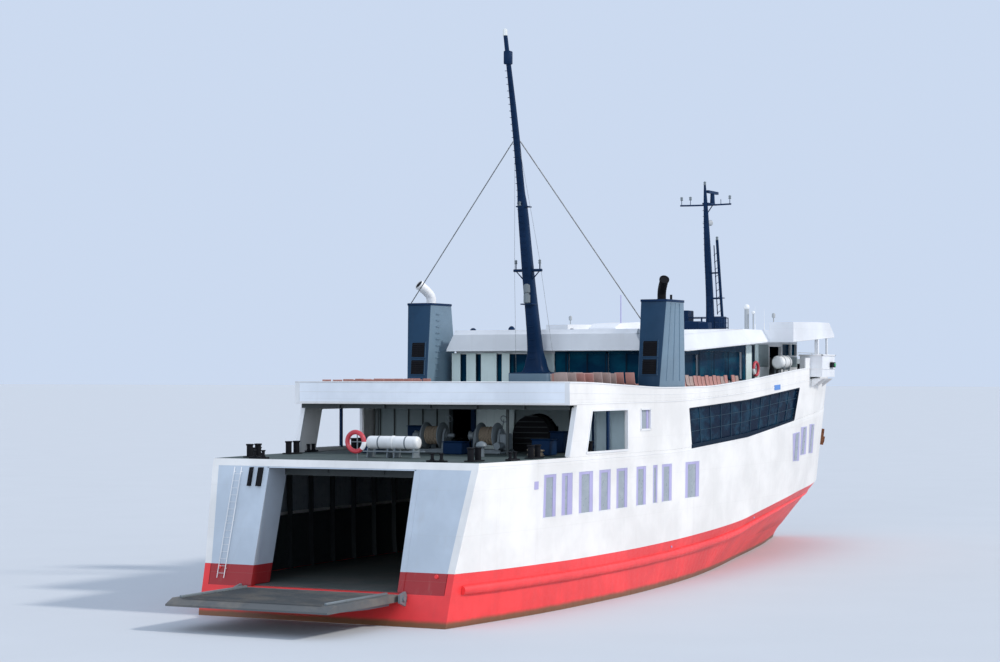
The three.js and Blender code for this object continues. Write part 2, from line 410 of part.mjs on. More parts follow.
// -------------------------------------------------------------------- masts
{
  const sq = (s, z, a, b) => ({ a: [P(s - a, b, z), P(s + a, b, z)], b: [P(s - a, -b, z), P(s + a, -b, z)] });
  const z0 = deckZ(20.9) + GAP;
  const pole = ladder([sq(20.1, z0, 0.8, 1.22), sq(20.1, 10.38, 0.8, 1.22), sq(20.14, 10.44, 0.62, 0.78), sq(20.14, 11.0, 0.44, 0.46), sq(20.05, 11.6, 0.37, 0.36), sq(19.22, MAST.barZ, 0.3, 0.27), sq(18.6, 18.7, 0.24, 0.22), sq(18.45, 19.4, 0.18, 0.17), sq(17.95, MAST.stayZ, 0.16, 0.15), sq(MAST.topS, MAST.top, 0.09, 0.09)]);
  const cross = box(19.12, 19.3, -0.78, 0.78, MAST.barZ - 0.08, MAST.barZ + 0.06);
  node('mainmast', join(pole, cross), 'blue');
}
// stays: to the roof on one side, to the funnel on the other
for (const [name, side] of SIDES) {
  const a = [17.96, side * 0.2, MAST.stayZ - 0.1], b = side > 0 ? [23.1, 4.95, ROOF.z + ROOF.t + 0.05] : [19.98, -7.06, FUNNEL.top + 0.05];
  node(`mast_stay_${name}`, bar(a, b, 0.03, 0.03, 6), 'steel');
}
{
  const { s, u, topS, top, yardZ, yardHalf } = FOREMAST, z0 = WROOF.mid + GAP;
  const sq = (c, z, a, b) => ({ a: [P(c - a, u + b, z), P(c + a, u + b, z)], b: [P(c - a, u - b, z), P(c + a, u - b, z)] });
  const pole = ladder([sq(s - 0.02, z0, 0.3, 0.32), sq(s, z0 + 0.6, 0.25, 0.25), sq(mix(s, topS, 0.65), 18.0, 0.18, 0.18), sq(topS, yardZ, 0.12, 0.12), sq(topS - 0.12, top, 0.06, 0.06)]);
  const yard = box(topS - 0.06, topS + 0.06, u - yardHalf, u + yardHalf, yardZ - 0.07, yardZ + 0.07);
  const shelf = box(topS - 0.04, RADAR.s + 0.25, u - 0.2, u + 0.2, RADAR.shelfZ - 0.09, RADAR.shelfZ);
  const leg = bar([s, u + 0.82, z0 + 0.1], [s - 0.97, u + 0.82, 18.2], 0.1, 0.08);
  const brace = bar([s - 0.62, u + 0.84, 16.3], [s - 0.33, u, 16.3], 0.05);
  const foot = box(s - 0.7, s + 0.1, u + 0.2, u + 1.0, z0, z0 + 0.93);
  node('foremast', join(pole, yard, shelf, leg, brace, foot), 'blue');
  const hub = bar([RADAR.s, u, RADAR.shelfZ + 0.012], [RADAR.s, u, RADAR.z + 0.02], 0.15, 0.12, 12);
  const arm = box(RADAR.s - RADAR.half, RADAR.s + RADAR.half, u - 0.08, u + 0.08, RADAR.z, RADAR.z + 0.16);
  node('radar_scanner', join(hub, arm), 'raft');
}

// --------------------------------------------------------- deck equipment
for (const [name, side] of SIDES) {
  const s = 12.2, u = side * 1.45, z = DECK2_Z + GAP, c = z + 0.8;
  const bed = box(s - 0.8, s + 0.8, u - 0.95, u + 0.95, z, z + 0.16);
  const c1 = box(s - 0.45, s + 0.45, u - 0.75, u - 0.5, z + 0.1, z + 1.3), c2 = box(s - 0.45, s + 0.45, u + 0.5, u + 0.75, z + 0.1, z + 1.3);
  const drum = bar([s, u - 1.05, c], [s, u + 1.05, c], 0.34, 0.34, 12);
  const f1 = bar([s, u - 0.46, c], [s, u - 0.38, c], 0.62, 0.62, 12), f2 = bar([s, u + 0.38, c], [s, u + 0.46, c], 0.62, 0.62, 12);
  node(`mooring_winch_${name}`, join(bed, c1, c2, drum, f1, f2), 'steel');
}
{
  const s = 49.6, z = deckZ(50.6) + GAP;
  const bed = box(s - 1, s + 1, -2.2, 2.2, z, z + 0.16), gear = box(s - 0.5, s + 0.6, -0.5, 0.5, z + 0.1, z + 1.0);
  const shaft = bar([s, -2.1, z + 0.6], [s, 2.1, z + 0.6], 0.24, 0.24, 12);
  const w1 = bar([s, 1.0, z + 0.6], [s, 1.3, z + 0.6], 0.42, 0.42, 12), w2 = bar([s, -1.3, z + 0.6], [s, -1.0, z + 0.6], 0.42, 0.42, 12);
  const b1 = box(s - 0.3, s + 0.3, 1.55, 1.75, z + 0.1, z + 0.8), b2 = box(s - 0.3, s + 0.3, -1.75, -1.55, z + 0.1, z + 0.8);
  node('windlass', join(bed, gear, shaft, w1, w2, b1, b2), 'steel');
}
{
  const z = DECK2_Z + GAP, s = 5.2;
  const rails = [box(s - 0.35, s - 0.25, -1.1, 1.7, z + 0.25, z + 0.38), box(s + 0.25, s + 0.35, -1.1, 1.7, z + 0.25, z + 0.38)];
  const legs = [-0.9, 0.1, 0.45, 1.4].map((u) => box(s - 0.35, s + 0.35, u, u + 0.1, z, z + 0.37));
  const can = bar([s, -1.0, z + 0.67], [s, 0.25, z + 0.67], 0.34, 0.34, 12), can2 = bar([s, 0.35, z + 0.67], [s, 1.6, z + 0.67], 0.34, 0.34, 12);
  node('life_raft_aft', join(can, can2, ...rails, ...legs), 'raft');
}
for (const [name, side] of SIDES) {
  const z = deckZ(39.4) + GAP, u = side * 6.35, c = 11.0;
  const legs = [38.25, 39.1].map((s) => box(s, s + 0.2, u - 0.3, u + 0.3, z, c - 0.2));
  const can = bar([37.95, u, c], [39.5, u, c], 0.38, 0.38, 12);
  node(`life_raft_${name}`, join(can, ...legs), 'raft');
}
// anchors against the bow
for (const [name, side] of SIDES) {
  const o = new THREE.Vector3(...at(52.2, 'd2b', 0, -0.8, side)), lowP = new THREE.Vector3(...at(52.2, 'red', 0, 0, side));
  const fore = new THREE.Vector3(...at(53.4, 'd2b', 0, -0.8, side));
  const up = o.clone().sub(lowP).normalize(), along = fore.clone().sub(o).normalize();
  const out = new THREE.Vector3().crossVectors(along, up).normalize();
  if (out.y * -side < 0) out.negate();
  const ax = new THREE.Vector3().crossVectors(up, out).normalize();
  const sh = new THREE.Shape([[-0.09, 0.5], [0.09, 0.5], [0.09, -0.75], [0.35, -0.62], [0.72, -0.2], [0.66, -0.7], [0.3, -1.05], [-0.3, -1.05], [-0.66, -0.7], [-0.72, -0.2], [-0.35, -0.62], [-0.09, -0.75]].map(([a, b]) => new THREE.Vector2(a * K * 0.64, b * K * 0.64)));
  const g = new THREE.ExtrudeGeometry(sh, { depth: 0.22 * K, bevelEnabled: false });
  const c = o.clone().addScaledVector(up, -0.85 * K).addScaledVector(out, 0.12 * K);
  g.applyMatrix4(new THREE.Matrix4().makeBasis(ax, up, out).setPosition(c));
  node(`anchor_${name}`, g, 'rust');
}

// ------------------------------------------------------------- underwater
{
  const pts = [6.2, 7.5, 10, 12.5, 15, 17.5, 19.6].map((s) => [s, bottomZ(s) - GAP]);
  node('skeg', prismSZ([...pts, [19.6, -2.604], [18.5, -2.72], [8.5, -2.72], [6.6, -2.3]], -0.2, 0.2), 'red');
}
for (const [name, side] of SIDES) {
  const u = side * PROP.u, s0 = PROP.s + 0.4;
  const tubeEnd = 8.75;
  const tubeG = bar([s0, u, PROP.z], [tubeEnd, u, PROP.z], 0.17, 0.17, 12);
  const strut = prismSZ([[4.75, PROP.z], [5.5, PROP.z], [5.7, bottomZ(5.7) - GAP], [4.9, bottomZ(4.9) - GAP]], u - 0.09, u + 0.09);
  node(`shaft_bracket_${name}`, join(tubeG, strut), 'red');
  const blades = [];
  for (let i = 0; i < PROP.blades; i++) {
    const sh = new THREE.Shape([[-0.07, 0.08], [0.07, 0.08], [0.24, 0.42], [0.2, 0.66], [0.0, PROP.r], [-0.2, 0.66], [-0.24, 0.42]].map(([a, b]) => new THREE.Vector2(a * K, b * K)));
    const g = new THREE.ExtrudeGeometry(sh, { depth: 0.05 * K, bevelEnabled: false });
    g.translate(0, 0, -0.025 * K);
    g.rotateY(side * 0.95);                          // pitch of the blade about its own axis
    g.rotateX(Math.PI * 2 * i / PROP.blades);
    g.rotateX(Math.PI / 2 * 0);
    blades.push(g);
  }
  const hub = bar([PROP.s - 0.3, u, PROP.z], [PROP.s + 0.38, u, PROP.z], 0.15, 0.18, 12);
  const centre = P(PROP.s, u, PROP.z);
  blades.forEach((g) => g.translate(...centre));
  node(`propeller_${name}`, join(hub, ...blades), 'bronze');
  const { s, ahead, chord, low, high, t } = RUDDER;
  const foil = new THREE.Shape([[ahead, 0], [ahead - 0.12, t / 2], [0.1, t / 2 + 0.02], [ahead - chord, 0.02], [ahead - chord, -0.02], [0.1, -t / 2 - 0.02], [ahead - 0.12, -t / 2]].map(([a, b]) => new THREE.Vector2(a * K, b * K)));
  const blade = new THREE.ExtrudeGeometry(foil, { depth: (high - low) * K, bevelEnabled: false });
  blade.translate(...P(s, u, low));
  const stock = bar([s, u, high - 0.05], [s, u, bottomZ(s + 0.15) - 0.012], 0.1, 0.1, 12);
  node(`rudder_${name}`, join(blade, stock), 'red');
}

export default group;
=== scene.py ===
# Passenger and vehicle ferry, 1:2 scale model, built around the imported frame.
# Sizes below are the real ship's metres: s forward of the transom corner, u to
# starboard, z above the water. M() turns them into the frame's metres.
import bpy, bmesh, math, random
import numpy as np
from mathutils import Vector, Matrix


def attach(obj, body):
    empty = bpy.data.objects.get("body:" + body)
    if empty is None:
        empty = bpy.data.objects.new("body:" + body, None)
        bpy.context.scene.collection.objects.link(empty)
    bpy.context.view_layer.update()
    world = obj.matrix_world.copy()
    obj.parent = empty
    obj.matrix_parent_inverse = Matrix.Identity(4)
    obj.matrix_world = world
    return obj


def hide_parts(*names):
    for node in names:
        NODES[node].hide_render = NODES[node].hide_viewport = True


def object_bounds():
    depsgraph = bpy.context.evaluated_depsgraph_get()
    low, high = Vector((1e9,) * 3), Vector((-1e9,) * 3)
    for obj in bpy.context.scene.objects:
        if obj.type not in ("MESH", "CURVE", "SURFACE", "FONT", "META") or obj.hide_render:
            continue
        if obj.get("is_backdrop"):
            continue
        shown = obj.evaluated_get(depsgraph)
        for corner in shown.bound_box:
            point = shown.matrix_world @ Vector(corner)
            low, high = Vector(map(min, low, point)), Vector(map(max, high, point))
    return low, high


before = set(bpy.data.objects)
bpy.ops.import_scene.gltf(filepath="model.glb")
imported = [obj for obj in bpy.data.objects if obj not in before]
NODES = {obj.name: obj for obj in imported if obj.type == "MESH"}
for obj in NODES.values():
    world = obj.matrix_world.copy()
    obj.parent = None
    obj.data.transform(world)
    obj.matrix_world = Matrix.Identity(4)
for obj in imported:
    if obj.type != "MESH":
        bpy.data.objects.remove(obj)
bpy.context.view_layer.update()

scene = bpy.context.scene
random.seed(7)

SC, MID = 0.5, 28.0


def M(p):
    return ((p[0] - MID) * SC, -p[1] * SC, p[2] * SC)


# ------------------------------------------------------------ hull's surface
TRANSOM_RAKE, TRANSOM_Z0 = 0.292, 2.15
CAR_DECK_Z, DECK2_Z, DECK2_T, DECK3_Z, DECK3_T, DECK3_SHEER = 1.3, 6.65, 0.30, 9.05, 0.10, 0.75
SHELL_T, BULWARK_T, UPPER_AFT = 0.30, 0.14, 8.9
COLS = ["s", "zk", "bf", "zb", "bb", "bw", "zr", "br", "b2", "b3", "sh", "zu", "wt", "wb"]
STATIONS = np.array([
    [0.0, -0.45, 4.60, -0.30, 5.40, 6.00, 2.18, 6.10, 6.55, 6.70, 0.00, 9.98, 1.0, 0.0],
    [3.0, -0.75, 4.90, -0.45, 5.90, 6.45, 2.16, 6.60, 6.80, 6.90, 0.00, 9.98, 0.45, 0.0],
    [6.0, -1.15, 5.10, -0.65, 6.30, 6.80, 2.15, 6.90, 7.00, 7.04, 0.00, 9.98, 0.10, 0.0],
    [10.0, -1.75, 5.20, -0.95, 6.60, 7.00, 2.13, 7.10, 7.15, 7.15, 0.00, 9.95, 0.0, 0.0],
    [15.0, -2.35, 5.20, -1.30, 6.60, 7.05, 2.14, 7.15, 7.20, 7.20, 0.00, 9.80, 0.0, 0.0],
    [20.0, -2.60, 4.90, -1.50, 6.20, 6.80, 2.21, 7.15, 7.20, 7.20, 0.00, 9.67, 0.0, 0.0],
    [25.0, -2.60, 4.40, -1.50, 5.60, 6.30, 2.36, 7.12, 7.20, 7.20, 0.15, 9.70, 0.0, 0.0],
    [30.0, -2.60, 3.60, -1.50, 4.70, 5.50, 2.61, 7.05, 7.20, 7.20, 0.43, 9.94, 0.0, 0.0],
    [34.0, -2.60, 2.80, -1.50, 3.85, 4.70, 3.00, 6.91, 7.20, 7.20, 0.72, 10.20, 0.0, 0.0],
    [38.0, -2.60, 2.00, -1.50, 3.00, 3.85, 3.38, 6.70, 7.15, 7.20, 1.06, 10.50, 0.0, 0.0],
    [42.0, -2.60, 1.35, -1.50, 2.20, 3.05, 3.68, 6.28, 6.90, 7.10, 1.38, 10.72, 0.0, 0.0],
    [46.0, -2.60, 0.85, -1.50, 1.50, 2.20, 3.85, 5.63, 6.25, 6.50, 1.65, 10.88, 0.0, 0.0],
    [49.5, -2.50, 0.50, -1.45, 0.95, 1.50, 3.96, 4.70, 5.15, 5.32, 1.85, 11.02, 0.0, 0.25],
    [52.5, -2.30, 0.30, -1.40, 0.55, 0.85, 4.05, 3.45, 3.90, 4.10, 1.97, 11.14, 0.0, 0.55],
    [54.8, -2.10, 0.15, -1.30, 0.25, 0.42, 4.11, 2.04, 2.40, 2.60, 2.05, 11.24, 0.0, 0.85],
    [56.0, -1.90, 0.08, -1.20, 0.10, 0.15, 4.15, 0.42, 0.60, 0.80, 2.10, 11.30, 0.0, 1.0],
])


def pchip(X, Y):
    X, Y = np.asarray(X, float), np.asarray(Y, float)
    h = np.diff(X)
    d = np.diff(Y) / h
    m = np.zeros_like(Y)
    for i in range(1, len(X) - 1):
        if d[i - 1] * d[i] > 0:
            w1, w2 = 2 * h[i] + h[i - 1], h[i] + 2 * h[i - 1]
            m[i] = (w1 + w2) / (w1 / d[i - 1] + w2 / d[i])
    m[0], m[-1] = d[0], d[-1]

    def f(x):
        x = min(max(x, X[0]), X[-1])
        i = min(max(int(np.searchsorted(X, x, "right")) - 1, 0), len(X) - 2)
        t = (x - X[i]) / h[i]
        return float((1 + 2 * t) * (1 - t) ** 2 * Y[i] + t * (1 - t) ** 2 * h[i] * m[i]
                     + t * t * (3 - 2 * t) * Y[i + 1] + t * t * (t - 1) * h[i] * m[i + 1])
    return f


COLUMN = {c: pchip(STATIONS[:, 0], STATIONS[:, k]) for k, c in enumerate(COLS)}


def row(s):
    return {c: COLUMN[c](s) for c in COLS}


def z_red(s):
    return COLUMN["zr"](s)


def z_d2(s):
    return DECK2_Z + COLUMN["sh"](s)


def z_d2b(s):
    return z_d2(s) - DECK2_T


def z_d3(s):
    return DECK3_Z + DECK3_SHEER * COLUMN["sh"](s)


def z_d3b(s):
    return z_d3(s) - DECK3_T


def z_rail(s):
    return COLUMN["zu"](s)


def surf(s, z, side=1, inset=0.0):
    """A point of the ship's side: station, height, side and distance inside it."""
    q = row(s)
    zs = [0.0, CAR_DECK_Z, q["zr"], z_d2b(s), z_d2(s), z_d3b(s), z_d3(s), max(q["zu"], z_d3(s) + 0.01)]
    b1 = q["bw"] + (q["br"] - q["bw"]) * CAR_DECK_Z / q["zr"]
    bs = [q["bw"], b1, q["br"], q["b2"], q["b2"], q["b3"], q["b3"], q["b3"]]
    st = [-1.7, -0.7, -0.2, 0.0, 0.0, 0.1, 0.1, 0.1]
    b = float(np.interp(z, zs, bs))
    sh = (TRANSOM_RAKE * (z - TRANSOM_Z0) * q["wt"] if z <= z_d2(s) + 1e-6 else 0.0) + float(np.interp(z, zs, st)) * q["wb"]
    return (s + sh, side * max(b - inset, 0.02), z)


def half(s, z):
    return surf(s, z)[1]


def fill(marks, step):
    marks = sorted(set(round(m, 4) for m in marks))
    out = []
    for a, b in zip(marks, marks[1:]):
        n = max(1, math.ceil((b - a) / step - 1e-6))
        out += [a + (b - a) * k / n for k in range(n)]
    return out + [marks[-1]]


# ------------------------------------------------------------------- builder
class Build:
    def __init__(self):
        self.v, self.f, self.m = [], [], []

    def add(self, verts, faces, mat=0):
        o = len(self.v)
        self.v += [tuple(p) for p in verts]
        self.f += [[i + o for i in f] for f in faces]
        self.m += [mat] * len(faces) if isinstance(mat, int) else list(mat)

    def box(self, s0, s1, u0, u1, z0, z1, mat=0, c=0.0):
        """Box, with its edges cut by c."""
        S, U, Z = sorted((s0, s1)), sorted((u0, u1)), sorted((z0, z1))
        c = min(c, (S[1] - S[0]) * 0.45, (U[1] - U[0]) * 0.45, (Z[1] - Z[0]) * 0.45)
        if c <= 0:
            v = [(S[a], U[b], Z[d]) for a in (0, 1) for b in (0, 1) for d in (0, 1)]
            self.add(v, [(0, 1, 3, 2), (4, 6, 7, 5), (0, 4, 5, 1), (2, 3, 7, 6), (0, 2, 6, 4), (1, 5, 7, 3)], mat)
            return
        v, ix = [], {}
        for a in (0, 1):
            for b in (0, 1):
                for d in (0, 1):
                    i = lambda k, q, off: q[k] + (off if k == 0 else -off)
                    ix["x", a, b, d] = len(v); v.append((S[a], i(b, U, c), i(d, Z, c)))
                    ix["y", a, b, d] = len(v); v.append((i(a, S, c), U[b], i(d, Z, c)))
                    ix["z", a, b, d] = len(v); v.append((i(a, S, c), i(b, U, c), Z[d]))
        f = []
        for a in (0, 1):
            f.append([ix["x", a, 0, 0], ix["x", a, 1, 0], ix["x", a, 1, 1], ix["x", a, 0, 1]])
            f.append([ix["y", 0, a, 0], ix["y", 1, a, 0], ix["y", 1, a, 1], ix["y", 0, a, 1]])
            f.append([ix["z", 0, 0, a], ix["z", 1, 0, a], ix["z", 1, 1, a], ix["z", 0, 1, a]])
        for a in (0, 1):
            for b in (0, 1):
                f.append([ix["x", a, b, 0], ix["x", a, b, 1], ix["y", a, b, 1], ix["y", a, b, 0]])
                f.append([ix["x", a, 0, b], ix["x", a, 1, b], ix["z", a, 1, b], ix["z", a, 0, b]])
                f.append([ix["y", 0, a, b], ix["y", 1, a, b], ix["z", 1, a, b], ix["z", 0, a, b]])
                for d in (0, 1):
                    f.append([ix["x", a, b, d], ix["y", a, b, d], ix["z", a, b, d]])
        self.add(v, f, mat)

    def loft(self, rings, mat=0, caps=True, loop=False):
        """Rings of equal length joined in order; closed tube with end caps, or a closed loop."""
        n = len(rings[0])
        v = [p for r in rings for p in r]
        f = []
        k = len(rings)
        for i in range(k if loop else k - 1):
            a, b = i * n, ((i + 1) % k) * n
            for j in range(n):
                j2 = (j + 1) % n
                f.append([a + j, a + j2, b + j2, b + j])
        if caps and not loop:
            f.append(list(range(n)))
            f.append([(k - 1) * n + j for j in range(n)])
        self.add(v, f, mat)

    @staticmethod
    def ring(c, ax, r, n, r2=None, phase=0.0):
        ax = Vector(ax).normalized()
        ref = Vector((0, 0, 1)) if abs(ax.z) < 0.9 else Vector((1, 0, 0))
        e1 = ax.cross(ref).normalized()
        e2 = ax.cross(e1).normalized()
        r2 = r if r2 is None else r2
        c = Vector(c)
        return [tuple(c + e1 * math.cos(phase + 2 * math.pi * k / n) * r + e2 * math.sin(phase + 2 * math.pi * k / n) * r2) for k in range(n)]

    def bar(self, p, q, r, r2=None, n=10, mat=0):
        ax = Vector(q) - Vector(p)
        self.loft([self.ring(p, ax, r, n), self.ring(q, ax, r if r2 is None else r2, n)], mat)

    def lathe(self, p, q, profile, n=24, mat=0):
        """profile: (distance along p-q, radius) from one closed end to the other."""
        a, ax = Vector(p), (Vector(q) - Vector(p)).normalized()
        self.loft([self.ring(a + ax * h, ax, max(r, 1e-3), n) for h, r in profile], mat)

    def path(self, pts, r, n=8, mat=0, loop=False):
        P = [Vector(p) for p in pts]
        k = len(P)
        rings = []
        prev = None
        for i in range(k):
            a = P[(i - 1) % k] if (loop or i > 0) else P[i]
            b = P[(i + 1) % k] if (loop or i < k - 1) else P[i]
            t = (b - a).normalized()
            if prev is None:
                ref = Vector((0, 0, 1)) if abs(t.z) < 0.9 else Vector((1, 0, 0))
                e1 = t.cross(ref).normalized()
            else:
                e1 = (prev - t * prev.dot(t)).normalized()
            prev = e1
            e2 = t.cross(e1).normalized()
            rr = r[i] if isinstance(r, (list, tuple)) else r
            rings.append([tuple(P[i] + e1 * math.cos(2 * math.pi * j / n) * rr + e2 * math.sin(2 * math.pi * j / n) * rr) for j in range(n)])
        self.loft(rings, mat, loop=loop)

    def ball(self, c, r, n=16, m=8, mat=0, low=-1.0, squash=1.0):
        """Sphere from latitude low (sine) to the top."""
        c = Vector(c)
        t0 = math.asin(low)
        rings = []
        for i in range(m + 1):
            t = t0 + (math.pi / 2 - t0) * i / m
            rr = max(math.cos(t) * r, r * 0.004)
            rings.append([(c.x + rr * math.cos(2 * math.pi * k / n), c.y + rr * math.sin(2 * math.pi * k / n), c.z + math.sin(t) * r * squash) for k in range(n)])
        self.loft(rings, mat)

    def torus(self, c, ax, R, r, n=28, m=8, mat=0, part=None):
        ax = Vector(ax).normalized()
        ring = self.ring(c, ax, R, n)
        self.path(ring, r, m, mat, loop=True)

    def prism(self, pts, d, mat=0):
        """Flat polygon of 3-D points pushed by the vector d."""
        n = len(pts)
        v = [tuple(p) for p in pts] + [(p[0] + d[0], p[1] + d[1], p[2] + d[2]) for p in pts]
        f = [list(range(n)), list(range(n, 2 * n))] + [[i, (i + 1) % n, n + (i + 1) % n, n + i] for i in range(n)]
        self.add(v, f, mat)

    def plate(self, outer, inner, keep=None, mat=0, edge=None):
        """Wall between two grids of points, with holes where keep(i, j) is false."""
        ni, nj = len(outer), len(outer[0])
        idx = lambda i, j, k: k * ni * nj + i * nj + j
        v = [p for r in outer for p in r] + [p for r in inner for p in r]
        f, m = [], []
        ok = lambda i, j: 0 <= i < ni - 1 and 0 <= j < nj - 1 and (keep is None or keep(i, j))
        e = mat if edge is None else edge
        for i in range(ni - 1):
            for j in range(nj - 1):
                if not ok(i, j):
                    continue
                f.append([idx(i, j, 0), idx(i + 1, j, 0), idx(i + 1, j + 1, 0), idx(i, j + 1, 0)]); m.append(mat)
                f.append([idx(i, j, 1), idx(i, j + 1, 1), idx(i + 1, j + 1, 1), idx(i + 1, j, 1)]); m.append(mat)
                for (a, b), (di, dj) in ((((i, j), (i + 1, j)), (0, -1)), (((i, j + 1), (i + 1, j + 1)), (0, 1)), (((i, j), (i, j + 1)), (-1, 0)), (((i + 1, j), (i + 1, j + 1)), (1, 0))):
                    if not ok(i + di, j + dj):
                        f.append([idx(*a, 0), idx(*b, 0), idx(*b, 1), idx(*a, 1)]); m.append(e)
        used = sorted({i for q in f for i in q})
        new = {o: k for k, o in enumerate(used)}
        self.add([v[o] for o in used], [[new[i] for i in q] for q in f], m)

    def side_bar(self, a, b, w, side, out, inn, mat=0, step=0.8):
        """Strip on the ship's side from (s, z) a to b, w wide, between two insets."""
        L = math.hypot(b[0] - a[0], b[1] - a[1])
        n = max(1, math.ceil(abs(b[0] - a[0]) / step))
        px, pz = -(b[1] - a[1]) / L * w / 2, (b[0] - a[0]) / L * w / 2
        rings = []
        for k in range(n + 1):
            s, z = a[0] + (b[0] - a[0]) * k / n, a[1] + (b[1] - a[1]) * k / n
            rings.append([surf(s + px, z + pz, side, out), surf(s - px, z - pz, side, out), surf(s - px, z - pz, side, inn), surf(s + px, z + pz, side, inn)])
        self.loft(rings, mat)

    def side_quad(self, tl, tr, br, bl, side, out, inn, mat=0, n=4):
        """Patch on the ship's side between four (s, z) corners and two insets."""
        rings = []
        for k in range(n + 1):
            f = k / n
            a = (tl[0] + (bl[0] - tl[0]) * f, tl[1] + (bl[1] - tl[1]) * f)
            b = (tr[0] + (br[0] - tr[0]) * f, tr[1] + (br[1] - tr[1]) * f)
            rings.append([surf(*a, side, out), surf(*b, side, out), surf(*b, side, inn), surf(*a, side, inn)])
        self.loft(rings, mat)

    def side_rail(self, zf, s0, s1, side, r, out=0.0, mat=0, step=0.7, n=8, flat=1.0, L=0.0):
        """Rounded bar along the side at height zf(s)."""
        pts = [surf(s, zf(s), side, out) for s in fill([s0, s1], step)]
        self.path(pts, r, n, mat)

    def obj(self, name, mats, body="hull", slot=None, smooth=38, replaces=()):
        me = bpy.data.meshes.new(name)
        me.from_pydata([M(p) for p in self.v], [], self.f)
        for m in mats if isinstance(mats, (list, tuple)) else [mats]:
            me.materials.append(m)
        me.polygons.foreach_set("material_index", self.m)
        bm = bmesh.new()
        bm.from_mesh(me)
        bmesh.ops.recalc_face_normals(bm, faces=bm.faces)
        bm.to_mesh(me)
        bm.free()
        me.polygons.foreach_set("use_smooth", [True] * len(me.polygons))
        me.set_sharp_from_angle(angle=math.radians(smooth))
        me.update()
        ob = bpy.data.objects.new(name, me)
        scene.collection.objects.link(ob)
        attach(ob, body)
        if replaces:
            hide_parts(*replaces)
        return ob


# ----------------------------------------------------------------- materials
class Graph:
    def __init__(self, name):
        self.m = bpy.data.materials.new(name)
        self.m.use_nodes = True
        self.t = self.m.node_tree
        self.bsdf = self.t.nodes["Principled BSDF"]
        self.co = self.t.nodes.new("ShaderNodeTexCoord").outputs["Object"]
        self.xyz = self.n("ShaderNodeSeparateXYZ", {0: self.co})

    def n(self, kind, ins=None, **props):
        k = self.t.nodes.new(kind)
        for a, b in props.items():
            setattr(k, a, b)
        for a, b in (ins or {}).items():
            if isinstance(b, bpy.types.NodeSocket):
                self.t.links.new(b, k.inputs[a])
            else:
                k.inputs[a].default_value = b
        return k

    def scaled(self, v):
        return self.n("ShaderNodeVectorMath", {0: self.co, 1: v}, operation="MULTIPLY").outputs[0]

    def noise(self, scale, detail=3.0, rough=0.55, stretch=None):
        v = self.scaled(stretch) if stretch else self.co
        return self.n("ShaderNodeTexNoise", {"Vector": v, "Scale": scale, "Detail": detail, "Roughness": rough}).outputs["Fac"]

    def math(self, op, a, b=0.0, clamp=False):
        return self.n("ShaderNodeMath", {0: a, 1: b}, operation=op, use_clamp=clamp).outputs[0]

    def step(self, v, lo, hi, a=0.0, b=1.0):
        return self.n("ShaderNodeMapRange", {0: v, 1: lo, 2: hi, 3: a, 4: b}, interpolation_type="SMOOTHSTEP").outputs[0]

    def mix(self, f, a, b, mode="MIX"):
        k = self.n("ShaderNodeMix", {0: f}, data_type="RGBA", blend_type=mode)
        for i, c in ((6, a), (7, b)):
            if isinstance(c, bpy.types.NodeSocket):
                self.t.links.new(c, k.inputs[i])
            else:
                k.inputs[i].default_value = (*c, 1.0)
        return k.outputs[2]

    def bump(self, h, strength, dist, normal=None):
        ins = {"Height": h, "Strength": strength, "Distance": dist}
        if normal is not None:
            ins["Normal"] = normal
        return self.n("ShaderNodeBump", ins).outputs[0]

    def out(self, color, rough, normal=None, **fixed):
        for k, v in (("Base Color", color), ("Roughness", rough), ("Normal", normal)):
            if v is None:
                continue
            if isinstance(v, bpy.types.NodeSocket):
                self.t.links.new(v, self.bsdf.inputs[k])
            else:
                self.bsdf.inputs[k].default_value = (*v, 1.0) if k == "Base Color" else v
        for k, v in fixed.items():
            self.bsdf.inputs[k.replace("_", " ")].default_value = v
        return self.m


